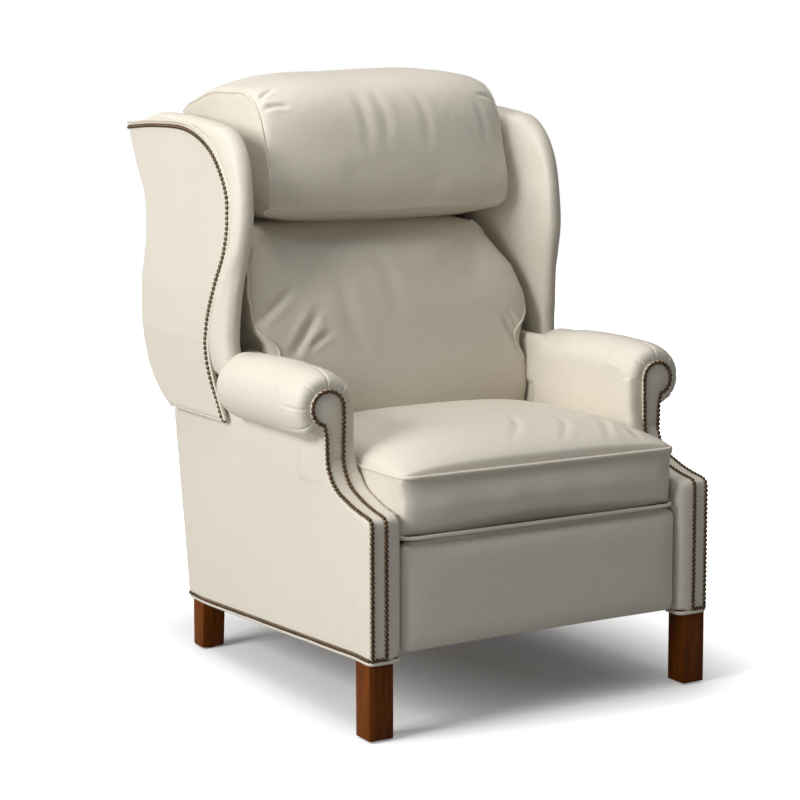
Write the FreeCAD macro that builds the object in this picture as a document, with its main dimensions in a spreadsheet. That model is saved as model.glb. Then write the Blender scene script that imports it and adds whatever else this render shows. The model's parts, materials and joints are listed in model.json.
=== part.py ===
"""Wingback recliner, push-back type, millimetres.

X runs to the right as seen from the front, +Y to the back, +Z up. The origin is on the floor,
midway between the sides and midway between the foremost and rearmost points. Left is -X.
"""
import FreeCAD, Part
import math
import os
import re

from FreeCAD import Vector

LEFT = -1
RIGHT = 1
SIDES = (("left", LEFT), ("right", RIGHT))

doc = FreeCAD.newDocument("wingback_recliner")
sheet = doc.addObject("Spreadsheet::Sheet", "sheet")
sheet_rows = 0

# Driving dimensions
DIMENSIONS = {
    # outer side of the base and the front post
    "side_out": 350, "post_in": 285, "front_face": -470, "side_skin": 8, "side_narrowing": 16,
    "base_front_low": 137, "base_rear_low": 100, "base_rear_foot": 260,
    "base_rear_shoulder": 320, "shoulder_level": 454, "wall_level": 510,
    # arm roll
    "arm_centre": 344, "arm_level": 540, "arm_radius": 57, "arm_middle_radius": 63,
    "arm_front": -319, "arm_back": 4, "facing_radius": 31, "facing_thickness": 5,
    # legs
    "leg_side": 45.6, "leg_front_out": 348, "leg_front_face": -465, "leg_front_top": 137,
    "leg_rear_out": 330.6, "leg_rear_face": 203, "leg_rake": 8, "leg_rear_top": 100,
    "glide_radius": 12, "glide_thickness": 3,
    # timbers of the base
    "frame_in": 292, "frame_out": 322, "rail_low": 142, "rail_height": 50, "board": 22,
    "front_rail_back": -125, "rear_rail_back": 112, "cross_rail_height": 40, "side_rail_back": 196,
    "arm_rail_in": 300, "arm_rail_out": 328, "arm_rail_low": 440, "arm_rail_top": 468,
    # padded inside of the arms
    "post_back": -285, "inside_arm_skin": 12, "inside_arm_back": 0, "inside_arm_low": 330,
    "inside_arm_top": 530, "arm_end_out": 301.5, "arm_end_back": 70, "arm_end_top": 592,
    # steel layers of the mechanism, from the base inwards
    "steel": 3, "layer": 4, "rivet_radius": 4, "running_gap": 0.07,
    "swing_level": 300, "swing_length": 80, "swing_front": -200, "swing_rear": 60,
    "link_half": 11,
    # seat
    "seat_rail_out": 258, "seat_rail_low": 262, "seat_rail_top": 327,
    "seat_rail_front": -425, "seat_rail_back": 90,
    "cushion_half": 284, "cushion_front": -462, "cushion_back": 18, "cushion_low": 335,
    "cushion_welt": 434, "cushion_crown": 477,
    # back
    "hinge_back": 150, "hinge_level": 290, "hinge_radius": 6,
    "back_post_out": 266, "back_post_width": 22, "back_post_depth": 40,
    "back_foot_level": 250, "back_top_level": 1000, "back_foot_front": 118, "back_lean": 0.28,
    # wings
    "wing_in": 304, "wing_seam": 340.5, "wing_out": 354, "wing_roll": 17,
    # footrest linkage: shaft, elbow and board pivots
    "shaft_back": -300, "shaft_level": 300, "shaft_radius": 11, "shaft_bore": 8,
    "elbow_back": -260, "elbow_level": 150, "board_back": -415, "board_level": 285,
    "board_half": 283.5, "board_low": 141, "board_top": 329, "board_front": -466,
    "board_padding": 25, "board_timber": 14,
}


def add_cell(name, value):
    global sheet_rows
    sheet_rows += 1
    sheet.set("A%d" % sheet_rows, name)
    sheet.set("B%d" % sheet_rows, str(value))
    sheet.setAlias("B%d" % sheet_rows, name)


for dimension, size in DIMENSIONS.items():
    add_cell(dimension, size)
doc.recompute()


def size_of(name):
    return float(getattr(sheet, name))


def bound(expression):
    """The expression with each dimension's name turned into its cell of the sheet."""
    return re.sub(r"[a-z_]+", lambda word: "sheet." + word.group(0), str(expression))


def box(name, x_range, y_range, z_range, side=RIGHT):
    """A squared block whose place and sizes follow the sheet; a left one is its mirror image."""
    item = doc.addObject("Part::Box", name)
    item.Label = name
    spans = (x_range, y_range, z_range)
    for prop, (start, end) in zip(("Length", "Width", "Height"), spans):
        item.setExpression(prop, bound("(%s) - (%s)" % (end, start)))
    start_x = x_range[0] if side == RIGHT else "-(%s)" % x_range[1]
    for letter, start in zip("xyz", (start_x, y_range[0], z_range[0])):
        item.setExpression("Placement.Base." + letter, bound(start))
    return item


def cross_pin(name, radius, x_range, y, z, side=RIGHT):
    """A round bar that lies along X."""
    item = doc.addObject("Part::Cylinder", name)
    item.Label = name
    start_x = x_range[0] if side == RIGHT else "-(%s)" % x_range[1]
    item.Placement.Rotation = FreeCAD.Rotation(Vector(0, 1, 0), 90)
    item.setExpression("Radius", bound(radius))
    item.setExpression("Height", bound("(%s) - (%s)" % (x_range[1], x_range[0])))
    for letter, start in zip("xyz", (start_x, y, z)):
        item.setExpression("Placement.Base." + letter, bound(start))
    return item


def group(name, items):
    item = doc.addObject("Part::Compound", name)
    item.Label = name
    item.Links = items
    return item


def minus(name, base, tool):
    item = doc.addObject("Part::Cut", name)
    item.Label = name
    item.Base = base
    item.Tool = tool
    return item


def feature(name, shape):
    item = doc.addObject("Part::Feature", name)
    item.Label = name
    item.Shape = shape
    item.Placement = FreeCAD.Placement()
    return item


def flat(point):
    return Vector(point[0], point[1], 0)


def polyline(points):
    """Straight edges round a closed outline."""
    ends = points[1:] + points[:1]
    return [Part.LineSegment(flat(a), flat(b)) for a, b in zip(points, ends)]


def arc_chain(points, place=flat):
    """Arcs end to end, each through three of the points; neighbours share a point."""
    spots = [place(point) for point in points]
    return [Part.Arc(*spots[n:n + 3]) for n in range(0, len(spots) - 2, 2)]


def slot_outline(start, end, half):
    """A bar with round ends between two pivots."""
    along = (flat(end) - flat(start)).normalize()
    across = Vector(-along.y, along.x, 0) * half
    a, b = flat(start), flat(end)
    return [
        Part.LineSegment(a - across, b - across),
        Part.Arc(b - across, b + along * half, b + across),
        Part.LineSegment(b + across, a + across),
        Part.Arc(a + across, a - along * half, a - across),
    ]


def ring(centre, radius):
    return Part.Circle(flat(centre), Vector(0, 0, 1), radius)


def plane_of(body, role):
    return [item for item in body.Origin.OriginFeatures if item.Role == role][0]


def side_plate(name, outline, x_range, side=RIGHT):
    """A plate drawn on the YZ plane and padded outwards across x_range."""
    body = doc.addObject("PartDesign::Body", name)
    body.Label = name
    sketch = body.newObject("Sketcher::SketchObject", name + "_profile")
    sketch.AttachmentSupport = (plane_of(body, "YZ_Plane"), [""])
    sketch.MapMode = "FlatFace"
    for geometry in outline:
        sketch.addGeometry(geometry, False)
    pad = body.newObject("PartDesign::Pad", name + "_pad")
    pad.Profile = sketch
    pad.setExpression("Length", bound("(%s) - (%s)" % (x_range[1], x_range[0])))
    pad.Reversed = side == LEFT
    sign = "" if side == RIGHT else "-"
    body.setExpression("Placement.Base.x", bound("%s(%s)" % (sign, x_range[0])))
    return body


def blend_loft(sections):
    """A solid through closed sections, each a list of lines and arcs."""
    wires = [Part.Wire([curve.toShape() for curve in section]) for section in sections]
    return Part.makeLoft(wires, True, True)


def mirrored(shape, side):
    return shape if side == RIGHT else shape.mirror(Vector(0, 0, 0), Vector(1, 0, 0))


# Side of the base: a flat leather-covered panel with the ogee up to the arm scroll
post_top = 377
ogee = [(-415, 385), (-375, 398), (-345, 414), (-327, 440), (-319, 472)]
front = size_of("front_face")
corner = 12
neck_top = (-317, 505)


def front_edge():
    """From the foot of the post up its front, over the rounded corner and along the ogee."""
    low = (front, size_of("base_front_low"))
    under_corner = (front, post_top - corner)
    over_corner = (front + corner, post_top)
    middle = (front + corner * 0.29, post_top - corner * 0.29)
    return [
        Part.LineSegment(flat(low), flat(under_corner)),
        Part.Arc(flat(under_corner), flat(middle), flat(over_corner)),
    ] + arc_chain([over_corner] + ogee + [neck_top])


def open_chain(points):
    return [Part.LineSegment(flat(a), flat(b)) for a, b in zip(points, points[1:])]


narrowing_angle = math.degrees(
    math.atan(size_of("side_narrowing") / (size_of("base_rear_shoulder") - front))
)


def lean_in(item, side):
    """Turn a side piece about its front corner, so that the chair narrows to the back."""
    item.Placement.Rotation = FreeCAD.Rotation(Vector(0, 0, 1), side * narrowing_angle)
    turn = math.radians(narrowing_angle)
    sign = "" if side == RIGHT else "-"
    shift_x = side * front * math.sin(turn)
    shift_y = 1 - math.cos(turn)
    item.setExpression("Placement.Base.x", bound("%s(side_out - side_skin)" % sign) + " + %r" % shift_x)
    item.setExpression("Placement.Base.y", bound("front_face") + " * %r" % shift_y)


wall_front = 10
rear_post_width = 50
wall_slope_start = 215
front_leg_back = size_of("leg_front_face") + size_of("leg_side") + 4
rear_leg_front = size_of("leg_rear_face") - 4
for side_name, side in SIDES:
    panel_outline = front_edge() + open_chain([
        neck_top,
        (wall_front, neck_top[1]),
        (wall_front + 20, size_of("wall_level")),
        (wall_slope_start, size_of("wall_level")),
        (size_of("base_rear_shoulder"), size_of("shoulder_level")),
        (size_of("base_rear_foot"), size_of("base_rear_low")),
        (rear_leg_front, size_of("base_rear_low")),
        (front_leg_back, size_of("base_front_low")),
        (front, size_of("base_front_low")),
    ])
    panel_raw = side_plate("side_panel_raw_" + side_name, panel_outline,
                           ("side_out - side_skin", "side_out"), side)
    lean_in(panel_raw, side)

    # All the space outside the panel's inner face, which trims what stands against it
    outside = doc.addObject("Part::Box", "outside_space_" + side_name)
    outside.Length = 400
    outside.Width = 1400
    outside.Height = 1400
    spin = FreeCAD.Rotation(Vector(0, 0, 1), side * narrowing_angle)
    inner = Vector(side * (size_of("side_out") - size_of("side_skin")), front, 0)
    box_corner = Vector(0 if side == RIGHT else -400, -300, -100)
    outside.Placement = FreeCAD.Placement(inner + spin.multVec(box_corner), spin)

    # Arm roll, turned about its own axis, with a pleated face and a rounded rear end
    roll = doc.addObject("PartDesign::Body", "arm_roll_" + side_name)
    roll.Label = "arm_roll_" + side_name
    roll_profile = roll.newObject("Sketcher::SketchObject", "arm_roll_profile_" + side_name)
    roll_profile.AttachmentSupport = (plane_of(roll, "YZ_Plane"), [""])
    roll_profile.MapMode = "FlatFace"
    radius = size_of("arm_radius")
    full = size_of("arm_middle_radius")
    nose = size_of("arm_front")
    tail = size_of("arm_back")
    roll_steps = [(nose, 0), (nose, radius - 15), (nose + 5, radius - 5), (nose + 16, radius),
                  (nose + 55, full - 2), (nose + 120, full), (tail - 90, full - 1),
                  (tail - 20, radius), (tail - 5, radius - 5), (tail, radius - 14), (tail, 0)]
    for geometry in polyline(roll_steps):
        roll_profile.addGeometry(geometry, False)
    turned = roll.newObject("PartDesign::Revolution", "arm_roll_turned_" + side_name)
    turned.Profile = roll_profile
    turned.ReferenceAxis = (roll_profile, ["H_Axis"])
    turned.Angle = 360
    sign = "" if side == RIGHT else "-"
    roll.setExpression("Placement.Base.x", bound(sign + "arm_centre"))
    roll.setExpression("Placement.Base.z", bound("arm_level"))

    minus("side_panel_" + side_name, panel_raw, roll)

    # Front post behind the ogee, closed inside by the inside-arm face
    post_back = size_of("post_back")
    post_head = size_of("arm_level")
    post_outline = front_edge() + open_chain([
        neck_top, (neck_top[0], post_head), (post_back, post_head),
        (post_back, size_of("base_front_low")),
        (front, size_of("base_front_low")),
    ])
    post_raw = side_plate("post_raw_" + side_name, post_outline, ("post_in", "side_out"), side)
    post_thin = minus("post_thin_" + side_name, post_raw, outside)
    minus("arm_post_" + side_name, post_thin, roll)

    # Padded inside of the arm, from the post back to its end inside the wing
    inside_raw = box("inside_arm_raw_" + side_name, ("post_in", "post_in + inside_arm_skin"),
                     ("post_back", "inside_arm_back"), ("inside_arm_low", "inside_arm_top"), side)
    inside_face = minus("inside_face_" + side_name, inside_raw, roll)
    arm_end = box("arm_end_" + side_name, ("post_in", "arm_end_out"), ("arm_back", "arm_end_back"),
                  ("wall_level - 11", "arm_end_top"), side)
    group("inside_arm_" + side_name, [inside_face, arm_end])

    # Padded wall beside the back, low enough for the wings to pass over it, on a leaning rear post
    post_lean = ((size_of("base_rear_shoulder") - size_of("base_rear_foot"))
                 / (size_of("shoulder_level") - size_of("base_rear_low")))
    wall_low = 300
    rear_post_back = size_of("base_rear_foot") - 6
    rear_post_rise = wall_low - size_of("base_rear_low")
    wall_outline = polyline([
        (4, wall_low), (4, size_of("wall_level") - 12),
        (wall_slope_start - 20, size_of("wall_level") - 12),
        (size_of("base_rear_shoulder") - 7, size_of("shoulder_level") - 6),
        (rear_post_back, size_of("base_rear_low")),
        (rear_post_back - rear_post_width, size_of("base_rear_low")),
        (rear_post_back - rear_post_width + rear_post_rise * post_lean, wall_low),
    ])
    wall_raw = side_plate("rear_wall_raw_" + side_name, wall_outline, ("frame_in", "frame_out"), side)
    minus("rear_wall_" + side_name, wall_raw, roll)

# Scroll faces of the arms
facings = []
for side_name, side in SIDES:
    facing = doc.addObject("Part::Cylinder", "facing_" + side_name)
    facing.Placement.Rotation = FreeCAD.Rotation(Vector(1, 0, 0), 90)
    facing.setExpression("Radius", bound("facing_radius"))
    facing.setExpression("Height", bound("facing_thickness"))
    facing.setExpression("Placement.Base.x", bound(("" if side == RIGHT else "-") + "arm_centre"))
    facing.setExpression("Placement.Base.y", bound("arm_front"))
    facing.setExpression("Placement.Base.z", bound("arm_level"))
    facings.append(facing)
group("arm_facings", facings)

# Timbers of the base
side_rails = []
arm_rails = []
for side_name, side in SIDES:
    side_rails.append(box("side_rail_" + side_name, ("frame_in", "frame_in + board"),
                          ("post_back", "side_rail_back"),
                          ("rail_low", "rail_low + rail_height"), side))
    arm_rails.append(box("arm_rail_" + side_name, ("arm_rail_in", "arm_rail_out"),
                         ("post_back", "inside_arm_back"), ("arm_rail_low", "arm_rail_top"), side))
group("side_rails", side_rails)
group("arm_rails", arm_rails)
box("front_cross_rail", ("-frame_in", "frame_in"), ("front_rail_back - board", "front_rail_back"),
    ("rail_low", "rail_low + cross_rail_height"))
box("rear_cross_rail", ("-frame_in", "frame_in"), ("rear_rail_back - board", "rear_rail_back"),
    ("rail_low", "rail_low + cross_rail_height"))

# Legs: square front pair, raked rear pair, each with a glide under it
glides = []
for side_name, side in SIDES:
    leg = box("leg_front_" + side_name, ("leg_front_out - leg_side", "leg_front_out"),
              ("leg_front_face", "leg_front_face + leg_side"), ("glide_thickness", "leg_front_top"),
              side)
    rake = size_of("leg_rake")
    face = size_of("leg_rear_face")
    width = size_of("leg_side")
    low = size_of("glide_thickness")
    top = size_of("leg_rear_top")
    side_plate("leg_rear_" + side_name,
               polyline([(face + rake, low), (face, top), (face + width, top), (face + width, low)]),
               ("leg_rear_out - leg_side", "leg_rear_out"), side)
    for y in ("leg_front_face + leg_side / 2", "leg_rear_face + leg_rake / 2 + leg_side / 2"):
        x = "leg_front_out" if "front" in y else "leg_rear_out"
        glide = doc.addObject("Part::Cylinder", "glide")
        glide.setExpression("Radius", bound("glide_radius"))
        glide.setExpression("Height", bound("glide_thickness"))
        sign = "" if side == RIGHT else "-"
        glide.setExpression("Placement.Base.x", bound("%s(%s - leg_side / 2)" % (sign, x)))
        glide.setExpression("Placement.Base.y", bound(y))
        glides.append(glide)
group("foot_glides", glides)

# Steel mechanism: base plates, swing links and seat plates, layer by layer towards the middle
pivot_front = size_of("swing_front")
pivot_rear = size_of("swing_rear")
level = size_of("swing_level")
hang = level - size_of("swing_length")
rivet = size_of("rivet_radius")
eye = rivet + size_of("running_gap")
half = size_of("link_half")
hinge = (size_of("hinge_back"), size_of("hinge_level"))
hinge_radius = size_of("hinge_radius")
base_rivets = []
seat_rivets = []
seat_spacers = []
for side_name, side in SIDES:
    plate_outline = polyline([
        (pivot_front - 45, 278), (pivot_front - 45, 322), (pivot_rear + 45, 322),
        (pivot_rear + 45, 278), (pivot_rear - 30, 262), (pivot_front + 30, 262),
    ])
    plate_outline += [ring((pivot_front, level), rivet), ring((pivot_rear, level), rivet)]
    side_plate("mechanism_plate_" + side_name, plate_outline, ("post_in - steel", "post_in"), side)
    for place, y in (("front", pivot_front), ("rear", pivot_rear)):
        link_outline = slot_outline((y, level), (y, hang), half)
        link_outline += [ring((y, level), eye), ring((y, hang), eye)]
        side_plate("swing_link_%s_%s" % (place, side_name), link_outline,
                   ("post_in - layer - steel", "post_in - layer"), side)
        base_rivets.append(cross_pin("base_rivet", "rivet_radius",
                                     ("post_in - layer - steel", "post_in"),
                                     "swing_" + place, "swing_level", side))
        seat_rivets.append(cross_pin("seat_rivet", "rivet_radius",
                                     ("post_in - 2 * layer - steel", "post_in - layer"),
                                     "swing_" + place, "swing_level - swing_length", side))
        seat_spacers.append(cross_pin("seat_spacer", "2 * rivet_radius",
                                      ("seat_rail_out", "post_in - 2 * layer - steel"),
                                      "swing_%s + 30" % place, "swing_level - 12", side))
    seat_plate_outline = polyline([
        (pivot_front - 16, hang - 14), (pivot_front - 16, hang + 20), (pivot_front + 12, 306),
        (pivot_rear + 12, 306), (hinge[0] - 8, hinge[1] + 18), (hinge[0] + 18, hinge[1] + 8),
        (hinge[0] + 18, hinge[1] - 16), (pivot_rear + 30, hang + 12), (pivot_rear + 16, hang - 14),
        (pivot_rear - 20, hang - 14), (pivot_rear - 42, 262), (pivot_front + 42, 262),
        (pivot_front + 20, hang - 14),
    ])
    seat_plate_outline += [
        ring((pivot_front, hang), rivet), ring((pivot_rear, hang), rivet),
        ring(hinge, hinge_radius),
    ]
    side_plate("seat_plate_" + side_name, seat_plate_outline,
               ("post_in - 2 * layer - steel", "post_in - 2 * layer"), side)
group("base_rivets", base_rivets)
group("seat_rivets", seat_rivets)
group("seat_spacers", seat_spacers)

# Seat frame, springs and deck
shaft = (size_of("shaft_back"), size_of("shaft_level"))
shaft_radius = size_of("shaft_radius")
running_gap = size_of("running_gap")
seat_side_rails = []
for side_name, side in SIDES:
    rail_outline = polyline([
        (size_of("seat_rail_front"), size_of("seat_rail_low")),
        (size_of("seat_rail_front"), size_of("seat_rail_top")),
        (size_of("seat_rail_back"), size_of("seat_rail_top")),
        (size_of("seat_rail_back"), size_of("seat_rail_low")),
    ])
    rail_outline.append(ring(shaft, shaft_radius + running_gap))
    seat_side_rails.append(side_plate("seat_rail_" + side_name, rail_outline,
                                      ("seat_rail_out - board", "seat_rail_out"), side))
group("seat_side_rails", seat_side_rails)
group("seat_cross_rails", [
    box("seat_front_rail", ("board - seat_rail_out", "seat_rail_out - board"),
        ("seat_rail_front", "seat_rail_front + board"), ("seat_rail_low", "seat_rail_top")),
    box("seat_back_rail", ("board - seat_rail_out", "seat_rail_out - board"),
        ("seat_rail_back - board", "seat_rail_back"), ("seat_rail_low", "seat_rail_top")),
])


def sinuous_spring(x):
    """A flat zigzag spring: straight cross wires joined by turns with cut corners."""
    reach = 24
    turns = 12
    wire_half = 1.8
    cut = 8
    start_y = size_of("seat_rail_front") + 24
    pitch = (size_of("seat_rail_back") - 24 - start_y) / turns
    line = []
    for turn in range(turns):
        hand = 1 if turn % 2 else -1
        y = start_y + turn * pitch
        line += [(hand * (reach - cut), y), (hand * reach, y + cut),
                 (hand * reach, y + pitch - cut), (hand * (reach - cut), y + pitch)]
    one_side, other_side = [], []
    for n, (px, py) in enumerate(line):
        before = line[max(n - 1, 0)]
        after = line[min(n + 1, len(line) - 1)]
        along = Vector(after[0] - before[0], after[1] - before[1], 0).normalize()
        across = Vector(-along.y, along.x, 0) * wire_half
        at = Vector(x + px, py, size_of("seat_rail_top"))
        one_side.append(at + across)
        other_side.append(at - across)
    outline = one_side + other_side[::-1]
    face = Part.Face(Part.makePolygon(outline + outline[:1]))
    return face.extrude(Vector(0, 0, 2 * wire_half))


spring_gap = 108
feature("seat_springs", Part.makeCompound([sinuous_spring(n * spring_gap - 1.5 * spring_gap)
                                           for n in range(4)]))
box("seat_deck", ("2 - seat_rail_out", "seat_rail_out - 2"),
    ("seat_rail_front", "seat_rail_back - 74"), ("seat_rail_top + 4", "cushion_low - 1"))


def rounded_plan(half_x, y_front, y_back, z, radius):
    """A rectangle with round corners at one height, as eight lines and arcs."""
    bow = radius * (1 - math.sqrt(0.5))
    curves = []
    corners = [(half_x, y_front, 1, -1), (half_x, y_back, 1, 1),
               (-half_x, y_back, -1, 1), (-half_x, y_front, -1, -1)]
    ends = []
    for x, y, sx, sy in corners:
        along_y = Vector(x, y - sy * radius, z)
        along_x = Vector(x - sx * radius, y, z)
        middle = Vector(x - sx * bow, y - sy * bow, z)
        ends.append((along_x, middle, along_y) if sx * sy < 0 else (along_y, middle, along_x))
    for n, (start, middle, end) in enumerate(ends):
        curves.append(Part.Arc(start, middle, end))
        curves.append(Part.LineSegment(end, ends[(n + 1) % 4][0]))
    return curves


# Seat cushion: drawn-in boxed sides between two welts and a crowned top
cushion_half = size_of("cushion_half")
cushion_front = size_of("cushion_front")
cushion_back = size_of("cushion_back")
cushion_low = size_of("cushion_low")
cushion_welt = size_of("cushion_welt")
crown = size_of("cushion_crown") - cushion_welt


def cushion_section(z, inset, radius=16):
    return rounded_plan(cushion_half - inset, cushion_front + inset, cushion_back - inset, z, radius)


boxing = blend_loft([
    cushion_section(cushion_low, 1),
    cushion_section((cushion_low + cushion_welt) / 2, 5),
    cushion_section(cushion_welt, 0.5),
])
crown_steps = [(0.5, 0), (14, 0.34), (42, 0.66), (90, 0.88), (150, 0.98), (205, 1)]
crown_top = blend_loft([cushion_section(cushion_welt + crown * rise, inset)
                        for inset, rise in crown_steps])
feature("seat_cushion", boxing.fuse(crown_top).removeSplitter())

# Back frame
lean = size_of("back_lean")
foot_front = size_of("back_foot_front")
foot_level = size_of("back_foot_level")
top_level = size_of("back_top_level")
depth = size_of("back_post_depth")


def frame_front(z):
    """How far back the front of the leaning back posts is at a height."""
    return foot_front + lean * (z - foot_level)


post_in = "back_post_out - back_post_width"
back_brackets = []
back_pins = []
for side_name, side in SIDES:
    side_plate("back_post_" + side_name, polyline([
        (frame_front(foot_level), foot_level), (frame_front(top_level), top_level),
        (frame_front(top_level) + depth, top_level), (frame_front(foot_level) + depth, foot_level),
    ]), (post_in, "back_post_out"), side)
    bracket_outline = polyline([
        (hinge[0] - 16, hinge[1] - 16), (hinge[0] - 16, hinge[1] + 16),
        (frame_front(420) + 4, 420), (frame_front(420) + depth - 4, 420), (hinge[0] + 24, hinge[1] - 16),
    ])
    bracket_outline.append(ring(hinge, hinge_radius + running_gap))
    back_brackets.append(side_plate("back_bracket_" + side_name, bracket_outline,
                                    ("back_post_out", "back_post_out + layer"), side))
    back_pins.append(cross_pin("back_pin", "hinge_radius",
                               ("back_post_out + 0.2", "post_in - 2 * layer"),
                               "hinge_back", "hinge_level", side))
group("back_brackets", back_brackets)
group("back_pins", back_pins)


def back_rail(name, low, height):
    """A rail between the posts, square to them."""
    outline = polyline([
        (frame_front(low), low), (frame_front(low + height), low + height),
        (frame_front(low + height) + 24, low + height), (frame_front(low) + 24, low),
    ])
    body = side_plate(name, outline, (post_in, post_in), RIGHT)
    pad = [item for item in body.Group if item.isDerivedFrom("PartDesign::Pad")][0]
    pad.setExpression("Length", bound("2 * (%s)" % post_in))
    body.setExpression("Placement.Base.x", bound("-(%s)" % post_in))
    return body


group("back_rails", [back_rail("back_rail_low", 300, 55), back_rail("back_rail_middle", 620, 50),
                     back_rail("back_rail_top", top_level - 60, 60)])

# Blocks that carry the wings on the back posts
wing_blocks = []
block_height = 70
block_front = 22
block_back = 56
for side_name, side in SIDES:
    for low in (640, 900):
        y_range = (str(frame_front(low) + block_front), str(frame_front(low) + block_back))
        wing_blocks.append(box("wing_block", ("back_post_out", "wing_in"), y_range,
                               (str(low), str(low + block_height)), side))
group("wing_blocks", wing_blocks)

# Wings: a flat outer panel that hangs past the arm, and a padded inner side that rolls forward
rear_curve = [(299, 466), (352, 505), (380, 545), (394, 650), (384, 740), (379, 800), (392, 872),
              (435, 932), (470, 1000)]
panel_top = [(470, 1000), (338, 1006), (195, 1001), (90, 965), (29, 900), (14, 845)]
panel_front = [(14, 845), (33, 781), (89, 704), (121, 626), (112, 554), (56, 468)]
pad_front = [(14, 524), (18, 570), (22, 618), (7, 700), (-14, 775), (-24, 832), (-17, 893),
             (15, 962), (72, 1003), (189, 1019), (300, 1025), (380, 1020), (434, 1000)]
pad_rear = [(434, 1000), (402, 940), (362, 872), (350, 800), (355, 735), (364, 650), (358, 612)]
pad_under = [(358, 612), (240, 592), (130, 550), (14, 524)]
wing_in = size_of("wing_in")
wing_out = size_of("wing_out")


def yz(points):
    return [Vector(0, y, z) for y, z in points]


def upright(point):
    return Vector(0, point[0], point[1])


def curve_yz(points):
    return [arc.toShape() for arc in arc_chain(points, upright)]


def wing_panel_shape():
    edges = curve_yz(rear_curve) + curve_yz(panel_top + panel_front[1:])
    edges.append(Part.LineSegment(*yz([panel_front[-1], rear_curve[0]])).toShape())
    face = Part.Face(Part.Wire(Part.__sortEdges__(edges)))
    face.translate(Vector(size_of("wing_seam"), 0, 0))
    return face.extrude(Vector(wing_out - size_of("wing_seam"), 0, 0))


def drawn_in(points, inset):
    """The outline moved towards its inside by inset, point by point."""
    moved = []
    for n, (y, z) in enumerate(points):
        before, after = points[n - 1], points[(n + 1) % len(points)]
        along = Vector(after[0] - before[0], after[1] - before[1], 0).normalize()
        moved.append((y + along.y * inset, z - along.x * inset))
    return moved


def pad_section_at(x, inset):
    """The pad's outline in a plane square to X: arcs up the front and down the rear."""
    ring_points = drawn_in(pad_front[:-1] + pad_rear[:-1] + pad_under[:-1], inset)
    front_end = len(pad_front)
    rear_end = front_end + len(pad_rear) - 1
    curves = arc_chain(ring_points[:front_end], upright)
    curves += arc_chain(ring_points[front_end - 1:rear_end], upright)
    under = ring_points[rear_end - 1:] + ring_points[:1]
    curves += [Part.LineSegment(*yz(pair)) for pair in zip(under, under[1:])]
    for curve in curves:
        curve.translate(Vector(x, 0, 0))
    return curves


def wing_pad_shape():
    roll = size_of("wing_roll")
    steps = [(0, roll * 0.75), (roll * 0.28, roll * 0.25), (roll, 0)]
    sections = [pad_section_at(wing_in + along, inset) for along, inset in steps]
    sections += [pad_section_at(wing_out - along, inset) for along, inset in steps[::-1]]
    return blend_loft(sections).cut(wing_panel_shape())


for side_name, side in SIDES:
    feature("wing_panel_" + side_name, mirrored(wing_panel_shape(), side))
    feature("wing_pad_" + side_name, mirrored(wing_pad_shape(), side))

# Outside of the back: one curved skin, wide between the wings and narrow between the side walls
back_skin = 10
outer_curve = [(262, 132), (296, 330), (318, 454), (346, 505), (374, 545), (389, 650), (379, 740),
               (374, 800), (387, 872), (430, 932), (462, 994)]
skin_upper = size_of("wing_seam") - 1
skin_lower = 280
skin_step = 512


def outside_back_shape():
    inner_curve = [(y - back_skin, z) for y, z in outer_curve]
    edges = curve_yz(outer_curve) + curve_yz(inner_curve)
    edges += [Part.LineSegment(*yz([outer_curve[n], inner_curve[n]])).toShape() for n in (0, -1)]
    face = Part.Face(Part.Wire(Part.__sortEdges__(edges)))
    face.translate(Vector(-skin_upper, 0, 0))
    skin = face.extrude(Vector(2 * skin_upper, 0, 0))
    for side in (LEFT, RIGHT):
        start = skin_lower if side == RIGHT else -skin_lower - 100
        skin = skin.cut(Part.makeBox(100, 400, skin_step - 90, Vector(start, 100, 90)))
    return skin


feature("outside_back", outside_back_shape())

# Inside of the back: a flat padded panel on the front of the posts, behind both cushions
inside_skin = 8
inside_low = 345
inside_step = 604


def inside_back_shape():
    corners = [(frame_front(inside_low) - inside_skin - 1, inside_low),
               (frame_front(top_level) - inside_skin - 1, top_level),
               (frame_front(top_level) - 1, top_level), (frame_front(inside_low) - 1, inside_low)]
    wire = Part.makePolygon(yz(corners + corners[:1]))
    wire.translate(Vector(1 - wing_in, 0, 0))
    panel = Part.Face(wire).extrude(Vector(2 * wing_in - 2, 0, 0))
    for side in (LEFT, RIGHT):
        start = skin_lower if side == RIGHT else -skin_lower - 100
        panel = panel.cut(Part.makeBox(100, 400, inside_step - 300, Vector(start, 0, 300)))
    return panel


feature("inside_back", inside_back_shape())
cushion_rest = inside_skin + 2

# Lumbar cushion: wide above the arms, notched beside them, crowned to the front
lumbar_low = 345
lumbar_top = 817
lumbar_half = [277, 280, 281, 281, 275, 274, 297, 294, 280, 246, 212]
lumbar_front = [24, 22, 20, 8, 6, 10, 16, 26, 42, 60, 84]


def lumbar_section(z, half_width, y_front):
    """A section with a bowed front and round front corners."""
    side_y = y_front + 24
    back_y = frame_front(z) - cushion_rest
    bow_y = y_front + 5
    shoulder = half_width - 24
    left_front = Vector(-shoulder, bow_y, z)
    right_front = Vector(shoulder, bow_y, z)
    right_side = Vector(half_width, side_y, z)
    left_side = Vector(-half_width, side_y, z)
    right_bend = Vector(half_width - 6, side_y - 13, z)
    left_bend = Vector(6 - half_width, side_y - 13, z)
    right_back = Vector(min(half_width, 262), back_y, z)
    left_back = Vector(-min(half_width, 262), back_y, z)
    return [
        Part.Arc(left_front, Vector(0, y_front, z), right_front),
        Part.Arc(right_front, right_bend, right_side),
        Part.LineSegment(right_side, right_back),
        Part.LineSegment(right_back, left_back),
        Part.LineSegment(left_back, left_side),
        Part.Arc(left_side, left_bend, left_front),
    ]


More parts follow.
